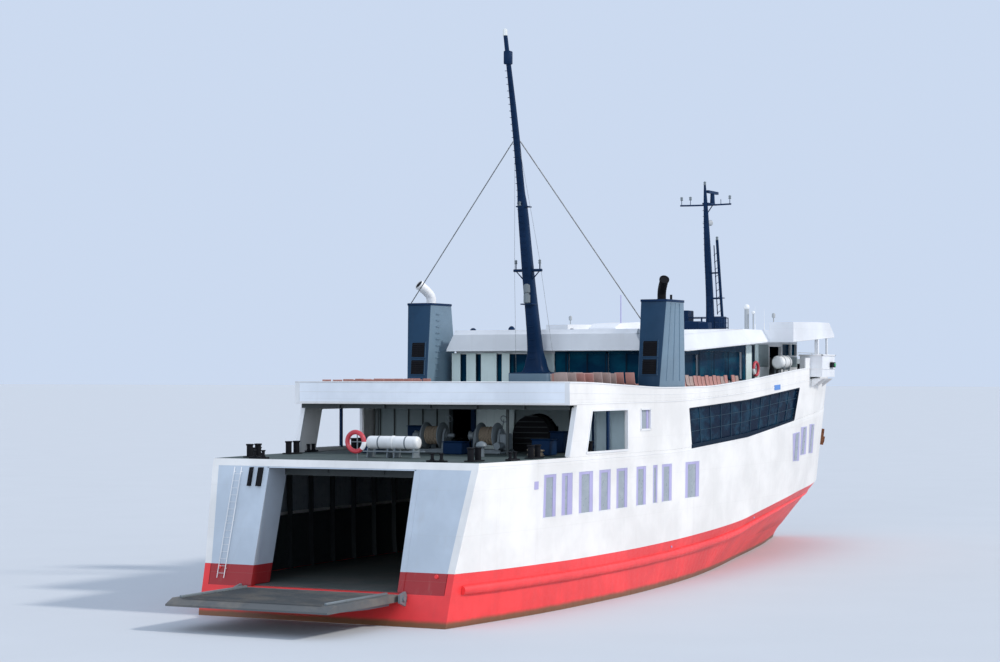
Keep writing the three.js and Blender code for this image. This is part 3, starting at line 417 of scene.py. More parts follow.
def paint(name, base, dirt=(0.42, 0.38, 0.32), amount=0.16, rust=0.05, rough=0.42, seams=True, frames=False, below=None,
          algae=False, soot=None, chips=None, coat=0.0, fade=0.08, spec=0.5):
    """Ship's paint: faded patches, vertical runs, sparse rust, plate seams and a soft buckle between frames."""
    g = Graph(name)
    patch = g.noise(0.55, 4.0, 0.6)
    fine = g.noise(14.0, 5.0, 0.6)
    runs = g.noise(1.0, 7.0, 0.62, stretch=(5.0, 5.0, 0.35))
    lighter = tuple(min(1.0, c * (1 + fade) + 0.02 * fade) for c in base)
    darker = tuple(c * (1 - fade) for c in base)
    col = g.mix(g.step(patch, 0.35, 0.68), darker, lighter)
    if below:
        zb, other = below
        lo = tuple(c * (1 - fade) for c in other)
        oc = g.mix(g.step(patch, 0.35, 0.68), lo, other)
        col = g.mix(g.step(g.xyz.outputs[2], zb - 0.003, zb + 0.003), oc, col)
    run = g.math("MULTIPLY", g.step(runs, 0.53, 0.80), amount, True)
    col = g.mix(run, col, dirt)
    spots = g.math("MULTIPLY", g.step(g.noise(1.6, 9.0, 0.7, stretch=(3.0, 3.0, 0.6)), 0.66, 0.78), rust, True)
    col = g.mix(spots, col, (0.30, 0.12, 0.05))
    if chips:
        spot = g.step(g.noise(26.0, 6.0, 0.7), 0.70, 0.74)
        col = g.mix(g.math("MULTIPLY", spot, 0.6), col, chips)
    if algae:
        wob = g.math("MULTIPLY", g.noise(2.5, 6.0, 0.65), 0.07)
        z = g.math("ADD", g.xyz.outputs[2], wob)
        col = g.mix(g.math("MULTIPLY", g.step(z, 0.21, 0.11), 0.85), col, (0.080, 0.085, 0.030))
        slime = g.mix(g.step(fine, 0.4, 0.6), (0.16, 0.030, 0.022), (0.10, 0.055, 0.030))
        col = g.mix(g.step(g.xyz.outputs[2], 0.012, -0.03), col, slime)
    if soot:
        z0, z1 = soot
        wob = g.math("MULTIPLY", g.noise(3.0, 5.0, 0.6), 0.5)
        col = g.mix(g.math("MULTIPLY", g.step(g.math("ADD", g.xyz.outputs[2], wob), z0 + 0.25, z1 + 0.25), 0.8), col, (0.02, 0.02, 0.022))
    r = g.n("ShaderNodeMapRange", {0: fine, 1: 0.3, 2: 0.7, 3: rough - 0.07, 4: rough + 0.10}).outputs[0]
    h = g.math("MULTIPLY", fine, 0.10)
    nrm = g.bump(h, 0.25, 0.004)
    if frames:
        w = g.math("SINE", g.math("MULTIPLY", g.xyz.outputs[0], 2 * math.pi / 0.32))
        big = g.math("MULTIPLY", w, g.noise(0.9, 2.0, 0.5))
        nrm = g.bump(big, 0.22, 0.010, nrm)
    if seams:
        v = g.n("ShaderNodeCombineXYZ", {0: g.math("ADD", g.xyz.outputs[0], g.xyz.outputs[1]), 1: g.xyz.outputs[2], 2: 0.0}).outputs[0]
        br = g.n("ShaderNodeTexBrick", {"Vector": v, "Scale": 1.0, "Mortar Size": 0.006, "Mortar Smooth": 0.6, "Brick Width": 2.9, "Row Height": 0.92}, offset=0.5, squash=1.0)
        nrm = g.bump(br.outputs["Fac"], 0.35, 0.006, nrm)
        col = g.mix(g.math("MULTIPLY", br.outputs["Fac"], 0.10), col, dirt)
    return g.out(col, r, nrm, Coat_Weight=coat, Coat_Roughness=0.25, Specular_IOR_Level=spec)


WHITE_C, RED_C, BLUE_C = (0.81, 0.785, 0.745), (0.88, 0.043, 0.045), (0.013, 0.045, 0.090)
WHITE = paint("white_hull_paint", WHITE_C, frames=True, amount=0.13, rust=0.05, coat=0.1)
WHITE_UP = paint("white_superstructure_paint", (0.74, 0.75, 0.765), amount=0.12, rust=0.04)
TRIM = paint("white_trim_paint", (0.78, 0.775, 0.765), amount=0.10, rust=0.05, seams=False)
# Painted shade: the transom's white is laid down as bluish grey and its red below the line as dark red, for its shaded
# aft face.
TRANSOM = paint("transom_painted_shade", (0.50, 0.56, 0.62), below=(1.09, (0.38, 0.022, 0.025)), amount=0.18, rust=0.10)
RED = paint("red_hull_paint", RED_C, dirt=(0.50, 0.08, 0.07), amount=0.22, rust=0.06, algae=True, frames=True, fade=0.12)
DARKBAR = paint("dark_glazing_bar_paint", (0.004, 0.014, 0.030), dirt=(0.02, 0.03, 0.04), amount=0.2, rust=0.0, rough=0.5, seams=False, spec=0.05)
BLUE = paint("blue_grey_paint", BLUE_C, dirt=(0.05, 0.075, 0.11), amount=0.25, rust=0.04, soot=(6.75, 7.35), rough=0.42, fade=0.15, spec=0.15)
MASTBLUE = paint("mast_blue_paint", (0.004, 0.021, 0.062), dirt=(0.015, 0.04, 0.08), amount=0.25, rust=0.03, rough=0.42, seams=False, fade=0.15, spec=0.08)
# Black steel and soot; also laid down as painted shade in the arched doorway and in the hollows of the side rings.
BLACK_AND_SHADE = paint("black_soot_steel_and_painted_shade", (0.008, 0.008, 0.010), dirt=(0.03, 0.025, 0.022), amount=0.25, rust=0.10, rough=0.6, seams=False, spec=0.1)
INTERIOR = paint("interior_grey_green_paint", (0.20, 0.25, 0.235), dirt=(0.06, 0.06, 0.05), amount=0.4, rust=0.12, rough=0.5)
# Near-black grey with grime and rust on top: painted shade for the dim vehicle space and the spaces under deck three.
INTERIOR_SHADE = paint("vehicle_space_painted_shade", (0.050, 0.058, 0.058), dirt=(0.02, 0.02, 0.018), amount=0.5, rust=0.12, rough=0.6, spec=0.2)
STEEL = paint("machinery_grey_paint", (0.16, 0.19, 0.205), dirt=(0.05, 0.045, 0.04), amount=0.4, rust=0.35, rough=0.45, seams=False, chips=(0.16, 0.07, 0.03))
GALV = paint("galvanised_steel", (0.38, 0.40, 0.41), dirt=(0.2, 0.15, 0.1), amount=0.3, rust=0.25, rough=0.42, seams=False)
RED_SMALL = paint("red_enamel", (0.62, 0.03, 0.025), amount=0.2, rust=0.05, rough=0.35, seams=False)
LILAC = paint("lilac_grey_panel", (0.42, 0.39, 0.62), dirt=(0.36, 0.35, 0.48), amount=0.25, rust=0.0, rough=0.35, seams=False)


def deck_mat(name, base, worn, scale=60.0):
    g = Graph(name)
    grit = g.noise(scale, 3.0, 0.7)
    wear = g.noise(0.9, 6.0, 0.65)
    foot = g.noise(3.2, 5.0, 0.6)
    col = g.mix(g.step(wear, 0.42, 0.66), base, worn)
    col = g.mix(g.math("MULTIPLY", g.step(foot, 0.5, 0.75), 0.35), col, tuple(c * 0.45 for c in base))
    col = g.mix(g.math("MULTIPLY", g.step(grit, 0.45, 0.6), 0.25), col, tuple(min(1, c * 1.7) for c in base))
    rs = g.step(g.noise(2.1, 8.0, 0.7), 0.66, 0.76)
    col = g.mix(g.math("MULTIPLY", rs, 0.35), col, (0.20, 0.09, 0.04))
    return g.out(col, g.n("ShaderNodeMapRange", {0: grit, 1: 0.3, 2: 0.7, 3: 0.62, 4: 0.9}).outputs[0], g.bump(grit, 0.5, 0.004))


DECK = deck_mat("green_deck_paint", (0.060, 0.115, 0.085), (0.115, 0.155, 0.125))
# Deck paint darkened to near black: painted shade under deck three.
MOORING_DECK_SHADE = deck_mat("mooring_deck_painted_shade", (0.030, 0.050, 0.047), (0.050, 0.070, 0.064))
CARDECK = deck_mat("vehicle_deck_paint", (0.065, 0.080, 0.075), (0.10, 0.098, 0.088))
RAMPM = deck_mat("ramp_deck_paint", (0.085, 0.092, 0.095), (0.16, 0.145, 0.125), 45.0)


def glass_mat(name, tint, alt, rough=0.06, scale=1.2, amount=0.6, coat=0.3, spec=0.5):
    """Glazing with the muted shapes of a room behind it."""
    g = Graph(name)
    room = g.noise(scale, 4.0, 0.55, stretch=(1.0, 1.0, 1.6))
    col = g.mix(g.math("MULTIPLY", g.step(room, 0.42, 0.70), amount), tint, alt)
    smear = g.noise(9.0, 4.0, 0.6)
    r = g.n("ShaderNodeMapRange", {0: smear, 1: 0.3, 2: 0.7, 3: rough, 4: rough + 0.10}).outputs[0]
    return g.out(col, r, g.bump(g.noise(1.6, 2.0, 0.5), 0.06, 0.01), Coat_Weight=coat, Coat_Roughness=0.04, IOR=1.5, Specular_IOR_Level=spec)


GLASS = glass_mat("dark_teal_glazing", (0.002, 0.026, 0.060), (0.004, 0.085, 0.135), rough=0.2, coat=0.0, spec=0.02)
GALLERY_GLASS = glass_mat("gallery_glazing", (0.002, 0.010, 0.028), (0.010, 0.045, 0.080), rough=0.2, scale=2.2, amount=0.8, coat=0.0, spec=0.02)
PANE = glass_mat("grey_green_pane", (0.30, 0.34, 0.37), (0.38, 0.42, 0.44), rough=0.25, scale=2.5, coat=0.0, spec=0.3)
PALEPANEL = paint("pale_green_panel", (0.66, 0.76, 0.73), dirt=(0.35, 0.42, 0.38), amount=0.3, rust=0.0, rough=0.4, seams=False)
FLANK = paint("blue_grey_flank_paint", (0.13, 0.20, 0.26), dirt=(0.20, 0.24, 0.28), amount=0.22, rust=0.05, soot=(6.75, 7.35), rough=0.38, fade=0.12)
BARS = paint("gallery_bar_paint", (0.022, 0.055, 0.085), dirt=(0.03, 0.06, 0.08), amount=0.2, rust=0.0, seams=False, spec=0.1)
# White bulkhead paint with a pale blue-green painted shade tint.
INNER_PALE_SHADE_TINT = paint("white_bulkhead_shade_tint_paint", (0.70, 0.86, 0.90), dirt=(0.38, 0.46, 0.48), amount=0.3, rust=0.05, rough=0.5, seams=False)
# Grey-green bulkhead paint; on the wheelhouse sides it is laid down as painted shade.
GREY_PANEL_AND_SHADE = paint("grey_green_bulkhead_paint", (0.20, 0.25, 0.25), dirt=(0.10, 0.12, 0.12), amount=0.3, rust=0.06, rough=0.5, seams=False)


def grp_mat(name, base, rough=0.35):
    g = Graph(name)
    mott = g.noise(6.0, 4.0, 0.6)
    grime = g.step(g.noise(1.4, 7.0, 0.65, stretch=(3, 3, 0.8)), 0.55, 0.8)
    col = g.mix(g.step(mott, 0.35, 0.65), tuple(c * 0.93 for c in base), base)
    col = g.mix(g.math("MULTIPLY", grime, 0.25), col, (0.35, 0.31, 0.25))
    return g.out(col, g.n("ShaderNodeMapRange", {0: mott, 1: 0.3, 2: 0.7, 3: rough - 0.06, 4: rough + 0.1}).outputs[0],
                 g.bump(g.noise(40.0, 2.0, 0.5), 0.12, 0.002), Coat_Weight=0.3, Coat_Roughness=0.2)


GRP = grp_mat("white_grp", (0.82, 0.82, 0.80))
ORANGE = grp_mat("faded_red_seat_plastic", (0.50, 0.23, 0.19), 0.42)
SEATTAN = grp_mat("pinkish_tan_seat_plastic", (0.44, 0.31, 0.27), 0.45)
BUOY = grp_mat("lifebuoy_red", (0.50, 0.030, 0.045), 0.45)
BLUEPLATE = grp_mat("light_blue_plate", (0.05, 0.22, 0.62), 0.3)
LAMPG = grp_mat("lamp_lens_green", (0.02, 0.35, 0.12), 0.2)
LAMPR = grp_mat("lamp_lens_red", (0.55, 0.02, 0.02), 0.2)
LAMPW = grp_mat("lamp_lens_clear", (0.75, 0.76, 0.72), 0.15)


def metal_mat(name, base, dark, rough=0.4, scale=8.0):
    g = Graph(name)
    n1 = g.noise(scale, 6.0, 0.65)
    n2 = g.noise(scale * 5, 3.0, 0.6)
    col = g.mix(g.step(n1, 0.38, 0.66), dark, base)
    return g.out(col, g.n("ShaderNodeMapRange", {0: n2, 1: 0.3, 2: 0.7, 3: rough - 0.08, 4: rough + 0.15}).outputs[0],
                 g.bump(n2, 0.2, 0.002), Metallic=0.9)


BRONZE = metal_mat("propeller_bronze", (0.55, 0.38, 0.14), (0.20, 0.16, 0.08), 0.35)
WIRE = metal_mat("galvanised_wire", (0.42, 0.43, 0.43), (0.20, 0.20, 0.20), 0.5, 30.0)


def rust_mat(name):
    g = Graph(name)
    n1, n2 = g.noise(7.0, 8.0, 0.7), g.noise(40.0, 4.0, 0.7)
    col = g.mix(g.step(n1, 0.35, 0.65), (0.10, 0.030, 0.012), (0.26, 0.095, 0.035))
    col = g.mix(g.math("MULTIPLY", g.step(n2, 0.55, 0.7), 0.5), col, (0.035, 0.018, 0.012))
    return g.out(col, 0.85, g.bump(n2, 0.7, 0.006))


RUST = rust_mat("rusty_iron")


def rubber_mat(name):
    g = Graph(name)
    n1 = g.noise(9.0, 5.0, 0.6)
    col = g.mix(g.step(n1, 0.4, 0.7), (0.012, 0.012, 0.013), (0.045, 0.042, 0.040))
    return g.out(col, 0.8, g.bump(g.noise(70.0, 2.0, 0.6), 0.3, 0.002))


RUBBER = rubber_mat("black_rubber")


def rope_mat(name, base):
    g = Graph(name)
    w = g.n("ShaderNodeTexWave", {"Vector": g.co, "Scale": 9.0, "Distortion": 2.0, "Detail": 2.0}, bands_direction="DIAGONAL").outputs["Fac"]
    col = g.mix(w, tuple(c * 0.55 for c in base), base)
    return g.out(col, 0.9, g.bump(w, 0.6, 0.01))


ROPE = rope_mat("rope_fibre", (0.30, 0.24, 0.17))

# White with a bluish tint: painted shade colour for the bulwark's aft face.
AFT_SHADE_WHITE = paint("aft_bulwark_shade_tint_paint", (0.86, 0.89, 0.93), amount=0.12, rust=0.04)
CAD_MATERIALS = {
    "transom_starboard": TRANSOM, "transom_port": TRANSOM, "stern_ramp": RAMPM, "vehicle_deck": CARDECK,
    "side_glazing_starboard": PANE, "side_glazing_port": PANE, "gallery_glazing_starboard": GALLERY_GLASS,
    "gallery_glazing_port": GALLERY_GLASS, "saloon_aft_bulkhead": GREY_PANEL_AND_SHADE, "aft_bulwark": AFT_SHADE_WHITE, "deckhouse": WHITE_UP,
    "deckhouse_glazing_starboard": GLASS, "deckhouse_glazing_port": GLASS, "deckhouse_roof": WHITE_UP,
    "roof_ventilation_house": WHITE_UP, "wheelhouse": WHITE_UP, "wheelhouse_glazing": GLASS, "wheelhouse_roof": WHITE_UP,
    "bridge_wing_starboard": WHITE_UP, "bridge_wing_port": WHITE_UP, "mast_stay_starboard": WIRE, "mast_stay_port": WIRE,
    "radar_scanner": MASTBLUE, "anchor_starboard": RUST, "anchor_port": RUST, "skeg": RED, "shaft_bracket_starboard": RED,
    "shaft_bracket_port": RED, "rudder_starboard": RED, "rudder_port": RED, "propeller_starboard": BRONZE, "propeller_port": BRONZE,
}
SHARP = {"transom_starboard", "transom_port", "aft_bulwark", "deckhouse", "deckhouse_roof", "wheelhouse", "wheelhouse_roof",
         "bridge_wing_starboard", "bridge_wing_port", "roof_ventilation_house", "saloon_aft_bulkhead", "anchor_starboard", "anchor_port"}
for name, mat in CAD_MATERIALS.items():
    o = NODES[name]
    if not o.material_slots:
        o.data.materials.append(None)
    for sl in o.material_slots:
        sl.link = "OBJECT"
        sl.material = mat
    if name in SHARP:
        b = o.modifiers.new("edges", "BEVEL")
        b.width, b.segments, b.limit_method, b.angle_limit = 0.012, 2, "ANGLE", math.radians(40)
        b.harden_normals = False

SIDES = (("starboard", 1), ("port", -1))

# ---------------------------------------------------------------- hull skins
S_ALL = fill([0, 3, 6, 10, 15, 20, 25, 30, 34, 38, 42, 46, 49.5, 52.5, 54.8, 56], 0.8)
S_ALL = [s for s in S_ALL if s < 49] + fill([49.2, 56], 0.35)


def bottom_profile(s, n=22):
    q = row(s)
    b1 = q["bw"] + (q["br"] - q["bw"]) * CAR_DECK_Z / q["zr"]
    pts = [(0, q["zk"], -5.5), (q["bf"], q["zk"], -5.5), (q["bb"], q["zb"], -3.8), (q["bw"], 0, -1.7), (b1, CAR_DECK_Z, -0.7)]
    T = [0.0]
    for a, b in zip(pts, pts[1:]):
        T.append(T[-1] + max(math.hypot(a[0] - b[0], a[1] - b[1]), 1e-3))
    fu, fz, fs = (pchip(T, [p[k] for p in pts]) for k in range(3))
    out = []
    for k in range(n + 1):
        t = T[-1] * (1 - (1 - k / n) ** 1.3)
        u, z, st = fu(t), fz(t), fs(t)
        out.append((s + TRANSOM_RAKE * (z - TRANSOM_Z0) * q["wt"] + st * q["wb"], u, z))
    return out


B = Build()
rings = []
for s in S_ALL:
    p = bottom_profile(s)
    rings.append([(a, -u, z) for a, u, z in reversed(p)] + p[1:])
B.loft(rings)
B.obj("hull_bottom", RED, slot="red_paint", replaces=("lower_hull",), smooth=50)

for name, side in SIDES:
    B = Build()
    rows = [0, 0.25, 0.5, 0.75, 1.0]
    zf = lambda s, k: CAR_DECK_Z + 0.002 + (z_red(s) - 0.002 - CAR_DECK_Z - 0.002) * k
    B.plate([[surf(s, zf(s, k), side) for k in rows] for s in S_ALL], [[surf(s, zf(s, k), side, SHELL_T) for k in rows] for s in S_ALL], edge=0)
    B.obj(f"red_strake_{name}", RED, slot="red_paint", replaces=(f"lower_strake_{name}",) + (("bow_lower",) if side == 1 else ()), smooth=50)

# rubbing strake: a half-round that stands out of the red strake, with a rounded end
B = Build()
for name, side in SIDES:
    st = fill([0.66, 51.0], 0.6)
    pts = [surf(s, z_red(s) - 0.69, side, 0.0) for s in st]
    r = [float(np.interp(s, [0.66, 1.2, 32.0, 41.0, 48.0, 51.0], [0.19, 0.21, 0.21, 0.11, 0.05, 0.02])) for s in st]
    B.path(pts, r, 14)
B.obj("rubbing_strake", RED, slot="red_paint")

WINDOWS = [(6.4, 7.6), (8.1, 9.2), (9.8, 11.3), (11.9, 13.2), (13.8, 15.1), (16.1, 17.3), (18.1, 18.7), (19.2, 20.5), (22.2, 24.1)]
BOW_WINDOWS = [((38.40, 7.00), (39.76, 7.08), (40.42, 5.42), (39.04, 5.44)), ((39.98, 7.33), (41.26, 7.35), (41.94, 5.75), (40.60, 5.73)),
               ((41.92, 7.46), (43.20, 7.45), (44.00, 5.75), (42.76, 5.77))]
w_low = lambda s: float(np.interp(s, [0, 15, 24.5, 30, 40, 42.5, 44, 45.4, 50, 56], [4.10, 4.12, 4.20, 4.45, 5.15, 5.30, 5.45, 5.70, 5.95, 6.1]))
w_high = lambda s: float(np.interp(s, [0, 24.5, 30, 38, 42.5, 44, 45.4, 50, 56], [6.0, 6.0, 6.15, 6.65, 7.0, 7.2, 7.32, 7.6, 7.8]))
marks = [0, 3, 6, 10, 15, 20, 25, 30, 34, 38, 42, 46, 49.5, 52.5, 54.8, 56] + [e for w in WINDOWS for e in w] + [0.9, 1.1]
S_SIDE = sorted(set(fill([m for m in marks if m <= 49.5], 0.8) + fill([49.5, 52.5, 54.8, 56], 0.35)))


def side_rows(s):
    a, b, c, d = z_red(s) + 0.002, w_low(s), w_high(s), z_d2b(s) - 0.002
    return [a + (b - a) * k / 4 for k in range(4)] + [b + (c - b) * k / 4 for k in range(4)] + [c, (c + d) / 2, d]


def in_window(i, wins):
    m = (S_SIDE[i] + S_SIDE[i + 1]) / 2
    return any(a < m < b for a, b in wins)


for name, side in SIDES:
    B = Build()
    grid = [side_rows(s) for s in S_SIDE]
    thick = lambda s: 0.33 if s < 1.0 else (0.10 if 5.95 < s < 24.65 else 0.14)
    B.plate([[surf(s, z, side) for z in r] for s, r in zip(S_SIDE, grid)], [[surf(s, z, side, thick(s)) for z in r] for s, r in zip(S_SIDE, grid)],
            keep=lambda i, j: not (4 <= j < 8 and in_window(i, WINDOWS)))
    B.obj(f"white_side_{name}", WHITE, slot="white_paint", replaces=(f"side_shell_{name}",) + (("bow_upper",) if side == 1 else ()), smooth=40)

# window frames, panes with their panels, and the bow's slanting windows
for name, side in SIDES:
    F, L, G = Build(), Build(), Build()
    for k, (a, b) in enumerate(WINDOWS):
        z0, z1 = w_low(a), w_high(a)
        for p, q in (((a, z0), (b, z0)), ((a, z1), (b, z1)), ((a, z0), (a, z1)), ((b, z0), (b, z1))):
            F.side_bar(p, q, 0.05, side, -0.006, 0.085)
        G.side_quad((a + 0.02, z1 - 0.02), (b - 0.02, z1 - 0.02), (b - 0.02, z0 + 0.02), (a + 0.02, z0 + 0.02), side, 0.026, 0.038)
        w = b - a
        left, right = (0.18, 0.22) if w > 0.9 else (0.20, 0.24)
        if k in (1,):
            left, right = 0.30, 0.42
        L.side_quad((a + 0.03, z1 - 0.03), (a + 0.03 + w * left, z1 - 0.03), (a + 0.03 + w * left, z0 + 0.03), (a + 0.03, z0 + 0.03), side, 0.003, 0.025)
        L.side_quad((b - 0.03 - w * right, z1 - 0.03), (b - 0.03, z1 - 0.03), (b - 0.03, z0 + 0.03), (b - 0.03 - w * right, z0 + 0.03), side, 0.010, 0.025)
        L.side_quad((a + 0.04 + w * left, z1 - 0.03), (b - 0.04 - w * right, z1 - 0.03), (b - 0.04 - w * right, z1 - 0.15), (a + 0.04 + w * left, z1 - 0.15), side, 0.012, 0.025)
    for tl, tr, br, bl in BOW_WINDOWS:
        cs, cz = (tl[0] + tr[0] + br[0] + bl[0]) / 4, (tl[1] + tr[1] + br[1] + bl[1]) / 4
        sc = lambda p, kx, kz: (cs + (p[0] - cs) * kx, cz + (p[1] - cz) * kz)
        F.side_quad(*[sc(p, 1.10, 1.05) for p in (tl, tr, br, bl)], side, -0.012, 0.02, n=6)
        L.side_quad(tl, tr, br, bl, side, -0.022, -0.010, n=6)
        G.side_quad(*[sc(p, 0.42, 0.94) for p in (tl, tr, br, bl)], side, -0.030, -0.018, n=6)
    F.obj(f"side_window_frames_{name}", TRIM, slot="white_paint")
    L.obj(f"side_window_panels_{name}", LILAC)
    G.obj(f"side_window_panes_{name}", PANE, slot="grey_glass")

# stem, rounded, red below the line and white above it
def stem_ring(z):
    q = row(56.0)
    zs = [q["zk"], q["zb"], 0.0, CAR_DECK_Z, q["zr"], z_d2b(56), z_d2(56), z_d3b(56), q["zu"]]
    b1 = q["bw"] + (q["br"] - q["bw"]) * CAR_DECK_Z / q["zr"]
    b = float(np.interp(z, zs, [q["bf"], q["bb"], q["bw"], b1, q["br"], q["b2"], q["b2"], q["b3"], q["b3"]]))
    x = 56 + float(np.interp(z, zs, [-5.5, -3.8, -1.7, -0.7, -0.2, 0, 0, 0.1, 0.1]))
    L = max(b / 2.66, 0.06)
    pts = [(x - 0.12, b * 0.9), (x - 0.002, b)] + [(x + L * k / 7, b * math.sqrt(max(1 - k / 7, 0.0))) for k in range(1, 7)]
    return [(a, u, z) for a, u in pts] + [(x + L, 0.0, z)] + [(a, -u, z) for a, u in reversed(pts)]


q56 = row(56.0)
B = Build()
B.loft([stem_ring(z) for z in np.linspace(q56["zk"] + 0.001, q56["zr"] - 0.001, 22)])
B.obj("stem_red", RED, slot="red_paint", smooth=50)
B = Build()
B.loft([stem_ring(z) for z in np.linspace(q56["zr"] + 0.001, q56["zu"], 26)])
B.obj("stem_white", WHITE, slot="white_paint", smooth=50)


# --------------------------------------------------------------------- decks
def deck_slab(name, zt, thick, s0, s1, mats, replaces, crown=0.0, slot="deck_paint"):
    B = Build()
    st = [s for s in S_ALL if s0 + 0.1 < s < s1 - 0.05]
    st = [s0] + st + [s1]
    v, f, m = [], [], []
    nu = 9
    for s in st:
        for lvl in (0, 1):
            z = zt(s) - (thick if lvl else 0)
            x, b, _ = surf(s, z)
            if s0 > 1:
                x = surf(s, zt(s))[0]
            for k in range(nu):
                t = -1 + 2 * k / (nu - 1)
                v.append((x, b * t, z + (crown * (1 - t * t) if not lvl else 0)))
    I = lambda i, lvl, k: (i * 2 + lvl) * nu + k
    for i in range(len(st) - 1):
        for k in range(nu - 1):
            f.append([I(i, 0, k), I(i + 1, 0, k), I(i + 1, 0, k + 1), I(i, 0, k + 1)]); m.append(0)
            f.append([I(i, 1, k), I(i, 1, k + 1), I(i + 1, 1, k + 1), I(i + 1, 1, k)]); m.append(2)
        for k in (0, nu - 1):
            f.append([I(i, 0, k), I(i, 1, k), I(i + 1, 1, k), I(i + 1, 0, k)]); m.append(1)
    for i in (0, len(st) - 1):
        for k in range(nu - 1):
            f.append([I(i, 0, k), I(i, 0, k + 1), I(i, 1, k + 1), I(i, 1, k)]); m.append(1)
    B.add(v, f, m)
    B.obj(name, mats, slot=slot, replaces=replaces, smooth=40)


# Second deck: top in the mooring deck's painted shade, underside in the vehicle space's painted shade.
deck_slab("second_deck_plating", z_d2, DECK2_T, 0.0, 56.0, [MOORING_DECK_SHADE, WHITE, INTERIOR_SHADE], ("second_deck",))
deck_slab("upper_deck_plating", z_d3, DECK3_T, UPPER_AFT, 56.0, [DECK, WHITE, INTERIOR], ("upper_deck",))

# ------------------------------------------------------- sides above deck two
GAL = [(23.1, 6.80), (30.9, 7.19), (38.5, 7.80), (39.3, 9.55), (30.9, 8.95), (22.75, 8.62)]
slant = lambda a, b: (lambda z: a[0] + (b[0] - a[0]) * (z - a[1]) / (b[1] - a[1]))
c_fix = lambda s: (lambda z: s)
COLF = [slant((8.56, 6.0), (9.75, 9.3)), slant((10.55, 6.8), (11.15, 8.7)), c_fix(15.1), c_fix(16.6), c_fix(17.8), c_fix(20.4),
        slant(GAL[0], GAL[5]), c_fix(30.9), slant(GAL[2], GAL[3])]
colfs = []
for a, b, n in zip(COLF, COLF[1:], (2, 6, 2, 2, 4, 3, 10, 10)):
    for k in range(n):
        colfs.append((lambda a, b, t: (lambda z: a(z) * (1 - t) + b(z) * t))(a, b, k / n))
i_op1 = (2, 8)
i_sw = (10, 12)
i_gal = (19, 39)
colfs.append(COLF[-1])
last = COLF[-1]
for s in fill([40.2, 49.2], 0.8) + fill([49.55, 52.5, 54.8, 56], 0.35):
    colfs.append((lambda s: (lambda z: s))(s))
rA = lambda s: float(np.interp(s, [8, 15.1, 23.1, 30.9, 38.5, 42, 46, 50, 56], [6.80, 6.80, 6.80, 7.19, 7.80, 8.15, 8.5, 8.75, 8.9]))
rC = lambda s: float(np.interp(s, [8, 15.1, 17.8, 22.75, 30.9, 39.3, 42, 46, 50, 56], [8.70, 8.70, 8.68, 8.62, 8.95, 9.55, 9.68, 9.82, 9.95, 10.0]))
rB = lambda s: float(np.interp(s, [8, 17.8, 23, 30.9, 38.5, 42, 46, 50, 56], [7.70, 7.70, 7.72, 8.07, 8.68, 8.90, 9.15, 9.3, 9.4]))


def wall_point(cf, kind, side, inset):
    s = cf(7.7)
    for _ in range(4):
        z = kind(s)
        s = cf(z)
    return surf(s, z, side, inset)


KINDS = [lambda s: z_d2(s) + 0.004, rA, lambda s: (rA(s) + rB(s)) / 2, rB, lambda s: (rB(s) + rC(s)) / 2, rC, lambda s: z_d3b(s) - 0.002]


def wall_keep(i, j):
    if i_op1[0] <= i < i_op1[1] and 1 <= j < 5:
        return False
    if i_sw[0] <= i < i_sw[1] and 3 <= j < 5:
        return False
    if i_gal[0] <= i < i_gal[1] and 1 <= j < 5:
        return False
    return True


